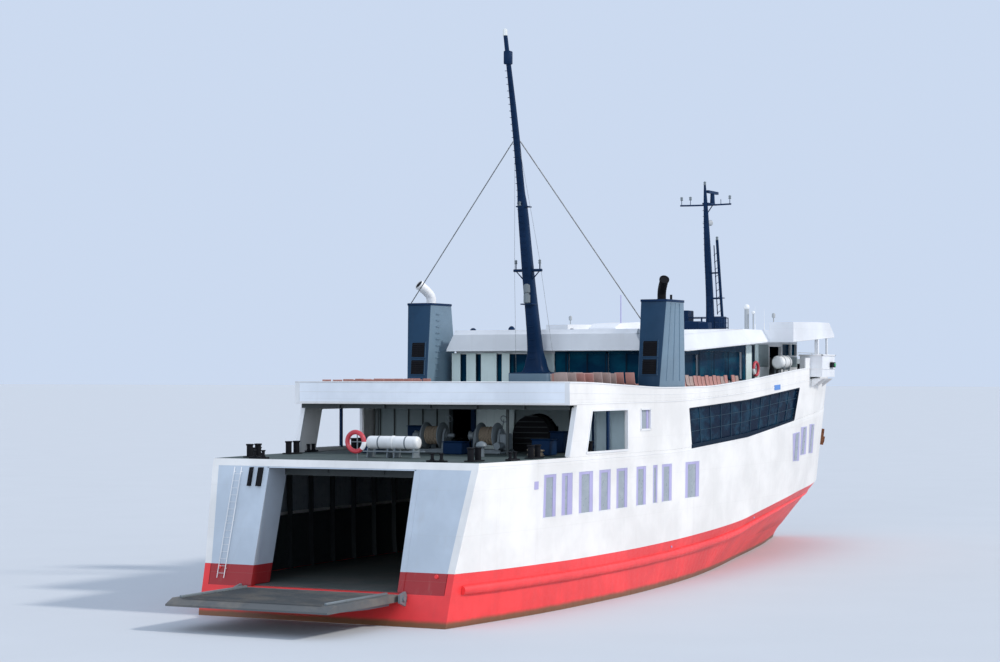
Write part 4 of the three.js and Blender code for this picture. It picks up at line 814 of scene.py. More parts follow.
for name, side in SIDES:
    B = Build()
    T = 0.16
    B.plate([[wall_point(c, k, side, 0.0) for k in KINDS] for c in colfs], [[wall_point(c, k, side, T) for k in KINDS] for c in colfs], keep=wall_keep)
    B.obj(f"upper_side_plating_{name}", WHITE, slot="white_paint", replaces=(f"upper_side_{name}",) + (("saloon_bow",) if side == 1 else ()), smooth=40)
    # coamings round the openings
    B = Build()
    quads = [[(10.55, 6.8), (15.1, 6.8), (15.1, 8.7), (11.15, 8.7)], [(16.6, 7.7), (17.8, 7.7), (17.8, 8.68), (16.6, 8.68)]]
    for q in quads:
        for a, b in zip(q, q[1:] + q[:1]):
            B.side_bar(a, b, 0.09, side, -0.035, 0.12)
    B.side_bar((8.86, 6.68), (9.57, 8.83), 0.1, side, -0.03, 0.2)
    B.obj(f"opening_coamings_{name}", TRIM, slot="white_paint")
    # glazing bars of the gallery, stanchion of the mooring opening, pane of the small window
    B = Build()
    lo = lambda s: float(np.interp(s, [23.1, 30.9, 38.5], [6.80, 7.19, 7.80]))
    hi = lambda s: float(np.interp(s, [22.75, 30.9, 39.3], [8.62, 8.95, 9.55]))
    n = 11
    for k in range(1, n):
        sb, stp = 23.1 + 15.4 * k / n, 22.75 + 16.55 * k / n
        B.side_bar((sb, lo(sb)), (stp, hi(stp)), 0.04, side, 0.07, 0.11)
    for t in (0.36, 0.68):
        P3 = [(23.1 - 0.35 * t, 6.80 + 1.82 * t), (30.9, 7.19 + 1.76 * t), (38.5 + 0.8 * t, 7.80 + 1.75 * t)]
        for a, b in zip(P3, P3[1:]):
            B.side_bar(a, b, 0.022, side, 0.08, 0.11)
    B.obj(f"gallery_bars_{name}", BARS, slot="blue_grey_paint")
    # dark edging of the gallery, deeper along its sill
    B = Build()
    for a, b in zip(GAL[2:], GAL[3:] + GAL[:1]):
        B.side_bar(a, b, 0.06, side, -0.012, 0.10)
    sill = lambda s: float(np.interp(s, [23.0, 30.9, 38.5], [6.63, 7.00, 7.74]))
    B.loft([[surf(s, lo(s) + 0.04, side, -0.010), surf(s, sill(s), side, -0.010), surf(s, sill(s), side, 0.03), surf(s, lo(s) + 0.04, side, 0.03)] for s in fill([23.02, 30.9, 38.48], 0.7)])
    B.obj(f"gallery_edging_{name}", DARKBAR, slot="blue_grey_paint")
    B = Build()
    B.side_bar((13.05, 6.72), (13.05, 8.8), 0.13, side, 0.03, 0.15)
    B.obj(f"opening_stanchion_{name}", MASTBLUE, slot="blue_grey_paint")
    B = Build()
    B.side_bar((16.62, 8.19), (17.78, 8.19), 0.96, side, 0.09, 0.12)
    B.obj(f"small_window_pane_{name}", PANE, slot="grey_glass")
    B = Build()
    B.side_bar((16.80, 7.74), (16.80, 8.64), 0.24, side, 0.07, 0.088)
    B.side_bar((17.60, 7.74), (17.60, 8.64), 0.24, side, 0.07, 0.088)
    B.obj(f"small_window_panels_{name}", LILAC)

# ------------------------------------------------------ bulwarks of deck three
WING = dict(aft=41.3, fore=43.5, inner=6.5, outer=7.85, top=11.4)
for name, side in SIDES:
    B = Build()
    st = fill([UPPER_AFT, 15, 20, 25, 30, 34, 38, WING["aft"] - 0.02], 0.8)
    zz = lambda s: [z_d3(s) + 0.003 + (z_rail(s) - z_d3(s) - 0.003) * k / 3 for k in range(4)]
    B.plate([[surf(s, z, side) for z in zz(s)] for s in st], [[surf(s, z, side, 0.07) for z in zz(s)] for s in st])
    B.obj(f"upper_bulwark_plating_{name}", WHITE, slot="white_paint", replaces=(f"upper_bulwark_{name}",), smooth=40)
    B = Build()
    st = fill([WING["fore"] + 0.02, 49.5], 0.8) + fill([49.85, 52.5, 54.8, 56.0], 0.35)
    B.plate([[surf(s, z, side) for z in zz(s)] for s in st], [[surf(s, z, side, 0.07) for z in zz(s)] for s in st])
    B.obj(f"bow_bulwark_plating_{name}", WHITE, slot="white_paint", replaces=("bow_bulwark",) if side == 1 else (), smooth=40)
    # cap rail, mouldings and inside brackets
    B = Build()
    for a, b in ((UPPER_AFT, WING["aft"] - 0.02), (WING["fore"] + 0.02, 56.0)):
        ss = fill([a, b], 0.6)
        ring = [[surf(s, z_rail(s) + dz, side, i) for i, dz in ((-0.03, 0.0), (-0.015, 0.035), (0.10, 0.035), (0.13, 0.0), (0.10, -0.03), (-0.02, -0.03))] for s in ss]
        B.loft(ring)
    for t, rr in ((0.48, 0.012),):
        for a, b in ((UPPER_AFT, WING["aft"] - 0.02), (WING["fore"] + 0.02, 55.9)):
            B.path([surf(s, z_d3(s) + (z_rail(s) - z_d3(s)) * t, side, 0.0) for s in fill([a, b], 0.6)], rr, 8)
    B.path([surf(s, z_d3(s) - 0.05, side, 0.0) for s in fill([UPPER_AFT, 56.0], 0.6)], 0.018, 8)
    B.path([surf(s, z_d2(s) - 0.15, side, 0.0) for s in fill([0.05, 56.0], 0.6)], 0.014, 8)
    B.obj(f"side_mouldings_{name}", TRIM, slot="white_paint")
    B = Build()
    s = 9.6
    while s < 55:
        if not (40.9 < s < 44.0) and not (18.6 < s < 23.0):
            h = z_rail(s) - z_d3(s) - 0.06
            b = half(s, z_rail(s)) - 0.07
            if b > 1.2:
                x = surf(s, z_rail(s))[0]
                z0 = z_d3(s)
                B.prism([(x, side * b, z0 + 0.005), (x, side * (b - 0.34), z0 + 0.005), (x, side * (b - 0.06), z0 + h)], (0.03, 0, 0))
        s += 1.25
    B.obj(f"bulwark_brackets_{name}", WHITE_UP, slot="white_paint")

B = Build()
zb = z_rail(UPPER_AFT)
hb = half(UPPER_AFT, zb)
B.box(UPPER_AFT - 0.03, UPPER_AFT + 0.13, -hb - 0.02, hb + 0.02, zb - 0.03, zb + 0.035, c=0.02)
B.bar((UPPER_AFT, -hb, DECK3_Z + 0.46), (UPPER_AFT, hb, DECK3_Z + 0.46), 0.010, n=8)
B.bar((UPPER_AFT, -hb, DECK3_Z - 0.05), (UPPER_AFT, hb, DECK3_Z - 0.05), 0.018, n=8)
for u in np.arange(-6.2, 6.3, 1.55):
    B.prism([(UPPER_AFT + 0.14, u, DECK3_Z + 0.005), (UPPER_AFT + 0.46, u, DECK3_Z + 0.005), (UPPER_AFT + 0.2, u, zb - 0.06)], (0, 0.03, 0))
for side in (1, -1):
    B.box(UPPER_AFT - 0.012, UPPER_AFT + 0.10, side * 6.88, side * (hb - 0.004), DECK3_Z - 0.09, zb, c=0.012)
B.obj("aft_bulwark_trim", TRIM, slot="white_paint")

# -------------------------------------------------- inside of the vehicle deck
# Web frames and deck beams in the vehicle space's near-black painted shade.
B = Build()
for s in np.arange(1.6, 41.6, 2.0):
    for side in (1, -1):
        zz = [1.36, z_red(s), z_d2b(s) - 0.02]
        outer = [(surf(s, z)[0], side * (half(s, z) - 0.31), z) for z in zz]
        inner = [(surf(s, z)[0], side * (half(s, z) - 0.55), z) for z in reversed(zz)]
        if 5.5 < s < 25:
            outer = [(a, side * (abs(u) + 0.0), z) for a, u, z in outer]
        B.prism(outer + inner, (0.05, 0, 0))
    b = half(s, z_d2b(s)) - 0.32
    x = surf(s, z_d2b(s))[0]
    B.box(x, x + 0.05, -b, b, z_d2b(s) - 0.42, z_d2b(s) - 0.01)
for u in (-4.2, -1.4, 1.4, 4.2):
    ss = fill([1.5, 41.5], 2.0)
    B.loft([[(surf(s, z_d2b(s))[0], u - 0.03, z_d2b(s) - 0.01), (surf(s, z_d2b(s))[0], u + 0.03, z_d2b(s) - 0.01),
             (surf(s, z_d2b(s))[0], u + 0.03, z_d2b(s) - 0.3), (surf(s, z_d2b(s))[0], u - 0.03, z_d2b(s) - 0.3)] for s in ss])
B.obj("vehicle_deck_frames", INTERIOR_SHADE, slot="white_paint")
# Dark sheets inside the shell sides: painted shade for the dim vehicle space.
for name, side in SIDES:
    B = Build()
    st = fill([0.5, 41.8], 1.4)
    rows_ = lambda s: [1.35, z_red(s), (z_red(s) + 3.8) / 2, 3.82] if s < 25 else [1.35, z_red(s), (z_red(s) + z_d2b(s)) / 2, z_d2b(s) - 0.02]
    B.plate([[surf(s, z, side, 0.303) for z in rows_(s)] for s in st], [[surf(s, z, side, 0.315) for z in rows_(s)] for s in st])
    st = fill([0.5, 5.9], 1.4)
    B.plate([[surf(s, z, side, 0.16) for z in (3.83, 5.0, 6.33)] for s in st], [[surf(s, z, side, 0.18) for z in (3.83, 5.0, 6.33)] for s in st])
    B.obj(f"vehicle_deck_shade_lining_{name}", INTERIOR_SHADE, slot="white_paint")
# Collision bulkhead in the same painted shade.
B = Build()
zz = [1.40, 2.5, z_red(41.9), 5.0, z_d2b(41.9) - 0.06]
B.prism([(41.7, half(41.9, z) - 0.36, z) for z in zz] + [(41.7, -(half(41.9, z) - 0.36), z) for z in reversed(zz)], (0.05, 0, 0))
B.obj("collision_bulkhead", INTERIOR_SHADE, slot="white_paint")

# ------------------------------------------------------------------ the stern
tx = lambda z: TRANSOM_RAKE * (z - TRANSOM_Z0)
B = Build()
for u in (3.585, -3.845):
    # deep frame of the stern opening, in the transom's bluish grey painted shade
    for z0, z1 in ((1.36, 6.34),):
        B.prism([(tx(z0) - 0.04, u, z0), (tx(z0) + 1.45, u, z0), (tx(z1) + 1.45, u, z1), (tx(z1) - 0.04, u, z1)], (0, 0.26, 0))
B.prism([(tx(6.29) - 0.04, -3.68, 6.29), (tx(6.29) + 1.45, -3.68, 6.29), (tx(6.345) + 1.45, -3.68, 6.345), (tx(6.345) - 0.04, -3.68, 6.345)], (0, 7.36, 0))
B.obj("stern_door_frame", TRANSOM, slot="white_paint")
# ladder and pipe on the port panel
B = Build()
for u in (-4.95, -5.30):
    B.bar((tx(1.6) - 0.12, u, 1.6), (tx(6.3) - 0.12, u, 6.3), 0.018, n=8)
for z in np.arange(1.8, 6.3, 0.3):
    B.bar((tx(z) - 0.12, -5.30, z), (tx(z) - 0.12, -4.95, z), 0.010, n=6)
for z in (2.0, 4.0, 6.1):
    for u in (-4.95, -5.30):
        B.bar((tx(z) - 0.12, u, z), (tx(z) + 0.03, u, z), 0.012, n=6)
B.obj("stern_ladder_and_pipes", TRIM, slot="steel")
# sheave housings of the ramp hoist beside the opening, under the deck edge
B = Build()
for u in (-3.98, -4.42):
    B.prism([(tx(5.5) - 0.16, u - 0.10, 5.5), (tx(5.5) + 0.02, u - 0.10, 5.5), (tx(6.3) + 0.02, u - 0.10, 6.3), (tx(6.3) - 0.16, u - 0.10, 6.3)], (0, 0.20 if u > -4 else 0.13, 0))
B.obj("stern_sheave_housings", BLACK_AND_SHADE, slot="steel")
B = Build()
for side in (1, -1):
    B.bar((tx(2.05) - 0.02, side * 5.3, 2.05), (tx(2.05) - 0.07, side * 5.3, 2.05), 0.09, 0.08, n=18)
B.obj("stern_discharges", RED, slot="steel")
# hinge knuckles of the ramp on the hull, clear of the ramp
B = Build()
for u in (-3.95, 3.95):
    side = 1 if u > 0 else -1
    B.prism([(-0.28, u, 0.78), (-0.86, u, 0.98), (-0.86, u, 1.32), (-0.40, u, 1.42), (-0.24, u, 1.2)], (0, side * 0.10, 0))
    B.bar((-0.56, u - side * 0.02, 1.15), (-0.56, u + side * 0.16, 1.15), 0.12, n=16)
B.obj("ramp_hinge_lugs", STEEL, slot="steel")
# treads, kerbs and girders that turn with the ramp
B = Build()
for s in np.arange(-6.0, -0.85, 0.26):
    if s < -5.75:
        continue
    B.box(s, s + 0.045, -3.3, 3.3, 1.298, 1.325, c=0.008)
B.obj("ramp_treads", RAMPM, body="ramp", slot="deck_paint")
B = Build()
for u in (-3.47, 3.35):
    B.box(-5.65, -0.85, u, u + 0.12, 1.298, 1.40, c=0.02)
for u in (-3.5, -2.1, -0.7, 0.7, 2.1, 3.5):
    B.prism([(-0.9, u - 0.05, 1.002), (-5.2, u - 0.05, 1.002), (-5.2, u - 0.05, 0.97), (-2.6, u - 0.05, 0.86), (-0.9, u - 0.05, 0.86)], (0, 0.1, 0))
B.obj("ramp_kerbs_and_girders", STEEL, body="ramp", slot="steel")
B = Build()
B.box(-6.13, -5.85, -3.75, 3.75, 1.04, 1.10, c=0.02)
B.obj("ramp_toe_plate", GALV, body="ramp", slot="steel")

# ------------------------------------------------------------- mooring deck
D2 = DECK2_Z


def bollards(B, s, u, z, along=True, r=0.14, h=0.55):
    B.box(s - (0.55 if along else 0.22), s + (0.55 if along else 0.22), u - (0.22 if along else 0.55), u + (0.22 if along else 0.55), z, z + 0.06, c=0.02)
    for k in (-0.33, 0.33):
        p = (s + (k if along else 0), u + (0 if along else k))
        B.lathe((*p, z + 0.05), (*p, z + 1), [(0, r), (h - 0.08, r), (h - 0.06, r * 1.22), (h - 0.01, r * 1.22), (h, r * 1.1)], n=20)


def fairlead(B, s, u, z, along=True):
    a, b = (0.45, 0.14) if along else (0.14, 0.45)
    B.box(s - a, s + a, u - b, u + b, z, z + 0.08, c=0.02)
    for k in (-0.22, 0.22):
        p = (s + (k if along else 0), u + (0 if along else k))
        B.lathe((*p, z + 0.07), (*p, z + 1), [(0, 0.10), (0.04, 0.10), (0.07, 0.07), (0.24, 0.07), (0.27, 0.10), (0.31, 0.10)], n=18)


def winch(W, R, s, u, z, w=0.95, drum=0.34, flange=0.62, motor=1, hc=0.8):
    c = z + hc
    W.box(s - 0.8, s + 0.8, u - w, u + w, z, z + 0.10, c=0.02)
    for k in (-0.72, 0.62):
        W.box(s + k, s + k + 0.1, u - w + 0.05, u + w - 0.05, z + 0.09, z + 0.17, c=0.015)
    for k in (-0.625, 0.625):
        W.prism([(s - 0.45, u + k - 0.05, z + 0.1), (s + 0.45, u + k - 0.05, z + 0.1), (s + 0.3, u + k - 0.05, c + 0.1), (s + 0.15, u + k - 0.05, c + 0.32), (s - 0.15, u + k - 0.05, c + 0.32), (s - 0.3, u + k - 0.05, c + 0.1)], (0, 0.1, 0))
        W.bar((s, u + k - 0.09, c), (s, u + k + 0.09, c), 0.19, n=24)
    W.bar((s, u - w - 0.1, c), (s, u + w + 0.1, c), 0.09, n=20)
    for k in (-0.46, 0.40):
        W.lathe((s, u + k, c), (s, u + k + 1, c), [(0, flange), (0.015, flange), (0.045, flange), (0.06, flange - 0.02)], n=36)
    W.lathe((s, u - w - 0.08, c), (s, u - w + 1, c), [(0, 0.2), (0.02, 0.24), (0.10, 0.17), (0.20, 0.16), (0.24, 0.22), (0.26, 0.2)], n=24)
    W.box(s - 0.36, s + 0.36, u + motor * (w - 0.27), u + motor * (w + 0.08), z + 0.15, c + 0.12, c=0.05)
    W.bar((s - 0.5, u + motor * (w - 0.1), z + 0.36), (s - 0.95, u + motor * (w - 0.1), z + 0.36), 0.17, n=20)
    W.bar((s + 0.34, u + 0.44, c + 0.1), (s + 0.62, u + 0.44, c + 0.75), 0.022, n=8)
    W.torus((s + 0.62, u + 0.44, c + 0.78), (0.9, 0, 0.4), 0.16, 0.02, 20, 6)
    # turns of rope on the drum
    pts = []
    turns = 9
    for i in range(turns * 20 + 1):
        a = 2 * math.pi * i / 20
        rr = drum + 0.05 + 0.012 * math.sin(3 * a / 7)
        pts.append((s + rr * math.cos(a), u - 0.355 + 0.72 * i / (turns * 20), c + rr * math.sin(a)))
    R.lathe((s, u - 0.40, c), (s, u + 1, c), [(0, drum + 0.01), (0.79, drum + 0.01)], n=28)
    R.path(pts, 0.045, 6)


for name, side in SIDES:
    W, R = Build(), Build()
    winch(W, R, 12.2, side * 1.45, D2 + 0.003, motor=side)
    W.obj(f"winch_frame_{name}", STEEL, slot="steel", replaces=(f"mooring_winch_{name}",))
    R.obj(f"winch_rope_turns_{name}", ROPE)

B = Build()
for side in (1, -1):
    bollards(B, 2.9, side * 5.5, D2)
    bollards(B, 7.2, side * 6.2, D2)
    bollards(B, 12.9, side * 6.1, D2)
    fairlead(B, 1.62, side * 4.4, D2, along=False)
    fairlead(B, 4.6, side * 6.45, D2)
    fairlead(B, 9.95, side * 6.9, D2)
for side in (1, -1):
    z = z_d3(51.0)
    bollards(B, 47.6, side * 4.4, z_d3(47.6))
    bollards(B, 52.6, side * 2.0, z_d3(52.6))
B.obj("bollards_and_fairleads", BLACK_AND_SHADE, slot="steel")

# canisters of the life rafts
def canister(B, S, a, b, r):
    a, b = Vector(a), Vector(b)
    L = (b - a).length
    prof = [(0, r * 0.55), (0.03, r * 0.80), (0.08, r * 0.95), (0.14, r), (L / 2 - 0.05, r), (L / 2 - 0.04, r * 1.07), (L / 2 + 0.04, r * 1.07), (L / 2 + 0.05, r), (L - 0.14, r), (L - 0.08, r * 0.95), (L - 0.03, r * 0.8), (L, r * 0.55)]
    B.lathe(a, b, prof, n=32)
    ax = (b - a).normalized()
    for t in (0.24, 0.76):
        c = a + ax * L * t
        S.lathe(c - ax * 0.035, c + ax, [(0, r * 1.0), (0.005, r * 1.03), (0.065, r * 1.03), (0.07, r * 1.0)], n=32)


B, S = Build(), Build()
z = D2 + 0.003
canister(B, S, (5.2, -1.0, z + 0.66), (5.2, 1.6, z + 0.66), 0.29)
B.obj("raft_canisters_aft", GRP, slot="white_plastic", replaces=("life_raft_aft",))
for u in (-0.9, 0.1, 0.45, 1.4):
    S.box(4.85, 5.55, u, u + 0.06, z, z + 0.06, c=0.01)
    S.prism([(4.88, u, z + 0.05), (5.52, u, z + 0.05), (5.46, u, z + 0.42), (4.94, u, z + 0.42)], (0, 0.05, 0))
for ss in (4.88, 5.48):
    S.box(ss, ss + 0.06, -1.1, 1.7, z + 0.24, z + 0.30, c=0.01)
S.obj("raft_rack_aft", STEEL, slot="steel")
for name, side in SIDES:
    B, S = Build(), Build()
    u = side * 6.35
    canister(B, S, (37.95, u, 11.0), (39.5, u, 11.0), 0.375)
    B.obj(f"raft_canister_{name}", GRP, slot="white_plastic", replaces=(f"life_raft_{name}",))
    for ss in (38.27, 39.12):
        zz = z_d3(ss) + 0.02
        S.prism([(ss, u - 0.32, 10.62), (ss, u + 0.32, 10.62), (ss, u + 0.30, 10.80), (ss, u - 0.30, 10.80)], (0.10, 0, 0))
        for k in (-0.28, 0.22):
            S.box(ss, ss + 0.08, u + k, u + k + 0.06, zz, 10.64, c=0.01)
    for k in (-0.28, 0.22):
        S.box(38.27, 39.2, u + k, u + k + 0.06, 10.56, 10.62, c=0.01)
    S.obj(f"raft_cradle_{name}", STEEL, slot="steel")


def lifebuoy(B, c, ax, R=0.40, r=0.075, mostly=False):
    """Ring buoy in four red and four white parts."""
    ax = Vector(ax).normalized()
    n = 40
    ring = [Vector(p) for p in Build.ring(c, ax, R, n)]
    c = Vector(c)
    for k in range(8):
        a0, a1 = k * 5, k * 5 + 5
        pts = [ring[(a0 + j) % n] for j in range(6)]
        rings = []
        for p in pts:
            rad = (p - c).normalized()
            rings.append([tuple(p + rad * math.cos(2 * math.pi * j / 12) * r + ax * math.sin(2 * math.pi * j / 12) * r) for j in range(12)])
        B.loft(rings, 0 if (k % 2 == 0 or mostly) and not (mostly and k == 3) else 1)


B = Build()
lifebuoy(B, (1.75, 0.40, 7.45), (1, 0, 0.05), 0.41, 0.10, mostly=True)
lifebuoy(B, (34.65, 6.30, 10.62), (0, 1, 0), 0.36, 0.08, mostly=True)
lifebuoy(B, (34.65, -6.30, 10.62), (0, 1, 0), 0.36, 0.08, mostly=True)
B.obj("lifebuoys", [BUOY, GRP], slot="white_plastic")
B = Build()
B.bar((1.88, 0.40, D2), (1.88, 0.40, 7.9), 0.025, n=10)
B.box(1.84, 1.92, 0.10, 0.70, 7.42, 7.46, c=0.01)
for side in (1, -1):
    B.bar((34.65, side * 6.2, z_d3(34.65)), (34.65, side * 6.2, 11.0), 0.03, n=10)
    B.box(34.35, 34.95, side * 6.17, side * 6.23, 10.59, 10.65, c=0.01)
B.obj("lifebuoy_stands", STEEL, slot="steel")

# casings, lockers and vents on the mooring deck
B = Build()
B.box(15.72, 15.88, -1.05, 0.95, D2 + 0.003, 8.90, c=0.02)
for k in range(5):
    u = -1.05 + 2.0 * k / 4
    B.box(15.70, 15.74, u - 0.02, u + 0.02, D2 + 0.02, 8.88, c=0.005)
B.obj("pale_door_panel", PALEPANEL, slot="white_paint")
B = Build()
B.box(15.55, 15.88, -1.30, -1.08, D2 + 0.003, 8.92, c=0.02)
for u in (5.28, 6.05):
    B.bar((15.4, u, D2), (15.4, u, 8.75), 0.06, n=12)
B.obj("mooring_deck_pillars", MASTBLUE, slot="blue_grey_paint")
# starboard part of the saloon's aft bulkhead: white with a painted blue-green shade tint
B = Build()
B.box(15.74, 15.86, 4.7, 6.93, D2 + 0.003, 8.86, c=0.02)
B.obj("bulkhead_side_panels", INNER_PALE_SHADE_TINT, slot="white_paint")
B = Build()
for s0, u0, w, h in ((13.9, -3.9, 0.9, 1.15), (14.2, 3.6, 0.7, 0.95), (9.9, 0.2, 1.0, 0.55), (9.6, -3.9, 0.8, 0.7), (10.4, 4.5, 0.9, 0.7)):
    B.box(s0, s0 + 0.8, u0, u0 + w, D2 + 0.003, D2 + h, c=0.04)
    B.box(s0 - 0.03, s0 + 0.83, u0 - 0.03, u0 + w + 0.03, D2 + h, D2 + h + 0.05, c=0.02)
B.obj("deck_lockers", MASTBLUE, slot="blue_grey_paint")
B = Build()
for s0, u0, h in ((8.4, -2.6, 0.75), (8.0, 3.2, 0.7)):
    B.lathe((s0, u0, D2), (s0, u0, 9), [(0, 0.13), (h * 0.6, 0.13), (h * 0.62, 0.25), (h * 0.7, 0.27), (h * 0.86, 0.22), (h * 0.95, 0.12), (h, 0.02)], n=24)
B.obj("mushroom_vents", STEEL, slot="steel")
B = Build()
for (sc, uc, R0) in ((9.0, 5.4, 0.36),):
    pts = []
    for i in range(4 * 24 + 1):
        a = 2 * math.pi * i / 24
        rr = R0 - 0.045 * (i // 24 % 3)
        pts.append((sc + rr * math.cos(a), uc + rr * math.sin(a), D2 + 0.05 + 0.07 * i / 24))
    B.path(pts, 0.04, 6)
B.obj("stowed_rope_coils", ROPE)
# black arched block in the bulkhead's wide doorway: painted shade for the dark store behind it
B = Build()
arch = [(15.2, 2.15 + 1.0 * math.cos(a), 7.42 + 0.95 * math.sin(a)) for a in np.linspace(0, math.pi, 15)]
B.prism([(15.2, 3.15, D2 + 0.01)] + arch + [(15.2, 1.15, D2 + 0.01)], (0.62, 0, 0))
B.obj("arched_store", BLACK_AND_SHADE, slot="steel")
# ribs in the doorway, in the near-black painted shade
B = Build()
for k in range(6):
    z = D2 + 0.35 + 0.26 * k
    w = 0.9 if z < 7.42 else math.sqrt(max(1 - ((z - 7.42) / 0.95) ** 2, 0.05)) * 0.92
    B.box(15.16, 15.2, 2.15 - w, 2.15 + w, z, z + 0.05, c=0.01)
B.obj("arched_store_ribs", INTERIOR_SHADE, slot="steel")

# beams under deck three over the mooring deck, and pillars, in near-black painted shade
B = Build()
for s in np.arange(9.2, 15.9, 1.1):
    b = half(s, 8.8) - 0.18
    B.box(s, s + 0.05, -b, b, 8.74, 8.94)
for u in (-4.8, -2.4, 0.0, 2.4, 4.8):
    B.box(9.0, 15.95, u - 0.03, u + 0.03, 8.76, 8.94)
for u in (-3.4, 3.4):
    B.bar((10.2, u, D2), (10.2, u, 8.8), 0.07, n=16)
B.obj("mooring_deck_beams", INTERIOR_SHADE, slot="white_paint")
# frames of the saloon's aft bulkhead, in near-black painted shade
B = Build()
for u in np.arange(-6.6, 6.7, 0.8):
    if -2.75 < u < -1.0 or 1.0 < u < 3.3:
        continue
    B.box(15.93, 15.99, u, u + 0.05, D2 + 0.02, 8.9)
for u0, u1 in ((-2.68, -2.6), (-1.15, -1.07)):
    B.box(15.90, 15.99, u0, u1, D2 + 0.02, 8.78, c=0.01)
B.box(15.90, 15.99, -2.68, -1.07, 8.72, 8.80, c=0.01)
B.obj("bulkhead_stiffeners", INTERIOR_SHADE, slot="white_paint")

# guard rails
def railing(B, pts, h, bars, r=0.022, post=1.4, wires=0.012):
    P = [Vector(p) for p in pts]
    for a, b in zip(P, P[1:]):
        L = (b - a).length
        n = max(1, round(L / post))
        for k in range(n + 1):
            p = a + (b - a) * (k / n)
            B.bar(p, p + Vector((0, 0, h)), r, n=8)
    for t in bars:
        B.path([p + Vector((0, 0, h * t)) for p in P], r if t > 0.99 else wires, 6)


# ------------------------------------------------------------- upper deck
def seat(B, s, u, z, w=0.46, face=1, turn=False, mat=0):
    prof = [(-0.30, 1.02), (-0.27, 0.80), (-0.22, 0.58), (-0.16, 0.47), (-0.02, 0.43), (0.16, 0.45), (0.25, 0.42)]
    back = [(-0.335, 1.01), (-0.305, 0.79), (-0.255, 0.56), (-0.19, 0.44), (-0.03, 0.395), (0.16, 0.415), (0.25, 0.385)]
    ring = prof + back[::-1]
    sec = []
    for k, (t, lift) in enumerate(((-1.0, 0.035), (-0.6, 0.0), (0.0, -0.008), (0.6, 0.0), (1.0, 0.035))):
        pts = []
        for a, b in ring:
            a2 = (a + lift * (1 if b > 0.5 else 0)) * face
            b2 = b + (lift if b <= 0.5 else 0)
            q = (a2, t * w / 2)
            pts.append((s + q[1], u + q[0], z + b2) if turn else (s + q[0], u + q[1], z + b2))
        sec.append(pts)
    B.loft(sec, mat)


B, L = Build(), Build()
for s in np.arange(10.4, 18.8, 0.95):
    groups = [(-6.45, -4.6), (3.6, 6.45)] if s > 17.6 else [(-6.45, -4.6), (1.0, 6.45)]
    z = z_d3(s) + 0.02
    for a, b in groups:
        n = int((b - a) / 0.52)
        lift = lambda u: float(np.interp(u, [-4.6, 1.0, 3.4, 6.4], [0.0, 0.10, 0.26, 0.30]))
        for k in range(n):
            u = a + (b - a) * (k + 0.5) / n
            if u > 0 and (random.random() < 0.14 or u < 4.02 + (14.0 - s) * 0.475):
                continue
            seat(B, s, u, z + lift(u) - 0.03 + 0.06 * random.random(), mat=1 if u > 0 and random.random() < 0.6 else 0)
        if a > 0:
            a = max(a, 3.9 + (14.0 - s) * 0.475)
        if b - a < 0.5:
            continue
        za, zc = z + lift(a), z + lift(b)
        L.prism([(s - 0.06, a + 0.05, za + 0.30), (s - 0.06, b - 0.05, zc + 0.30), (s - 0.06, b - 0.05, zc + 0.36), (s - 0.06, a + 0.05, za + 0.36)], (0.08, 0, 0))
        for k in np.linspace(a + 0.3, b - 0.3, 3):
            L.bar((s - 0.02, k, z - 0.02), (s - 0.02, k, z + lift(k) + 0.32), 0.025, n=8)
            L.box(s - 0.22, s + 0.18, k - 0.03, k + 0.03, z - 0.02, z + 0.02, c=0.005)
for side in (1, -1):
    for s in np.arange(23.4, 33.7, 0.55):
        if random.random() < 0.15:
            continue
        seat(B, s, side * 5.95, 9.18 + 0.09 * random.random(), face=side, turn=True, mat=int(random.random() < 0.5))
    for s0, s1 in ((23.2, 28.2), (28.7, 33.7)):
        L.box(s0, s1, side * 5.88, side * 5.96, 9.60, 9.66, c=0.01)
        for s in np.linspace(s0 + 0.3, s1 - 0.3, 4):
            L.bar((s, side * 5.92, z_d3(s)), (s, side * 5.92, 9.62), 0.025, n=8)
B.obj("deck_seats", [ORANGE, SEATTAN])
L.obj("deck_seat_legs", GALV, slot="steel")

# ---------------------------------------------------------------- deckhouse
roof_z = lambda s: 11.5 + 0.05 * max(0, s - 25)
HOUSE = dict(aft=21.8, fore=37.4, half=5.4)
# dark glazing bars and the dark strips between the panes
B = Build()
for side in (1, -1):
    y = sorted((side * 5.402, side * 5.425))
    for a, b in ((22.1, 28.42), (28.58, 34.85)):
        z0, z1 = z_d3(b) + 0.40, roof_z(a) - 0.14
        n = 3
        for k in range(n + 1):
            x = a + (b - a) * k / n
            B.box(x - 0.035, x + 0.035, *y, z0, z1, c=0.006)
        B.box(a, b, *y, z0 - 0.05, z0 + 0.03, c=0.006)
for a, b in ((-5.2, -3.2), (-3.08, -1.02), (1.02, 3.08), (3.2, 5.2)):
    for k in (0, 1, 2):
        u = a + (b - a) * k / 2
        B.box(21.775, 21.795, u - 0.03, u + 0.03, 9.45, 11.36, c=0.006)
    B.box(21.775, 21.795, a, b, 9.40, 9.47, c=0.006)
B.box(21.76, 21.795, 0.86, 0.93, 9.2, 11.36, c=0.006)
B.box(21.76, 21.795, 0.25, 0.30, 9.2, 11.36, c=0.006)
B.obj("deckhouse_glazing_bars", DARKBAR, slot="blue_grey_paint")
B = Build()
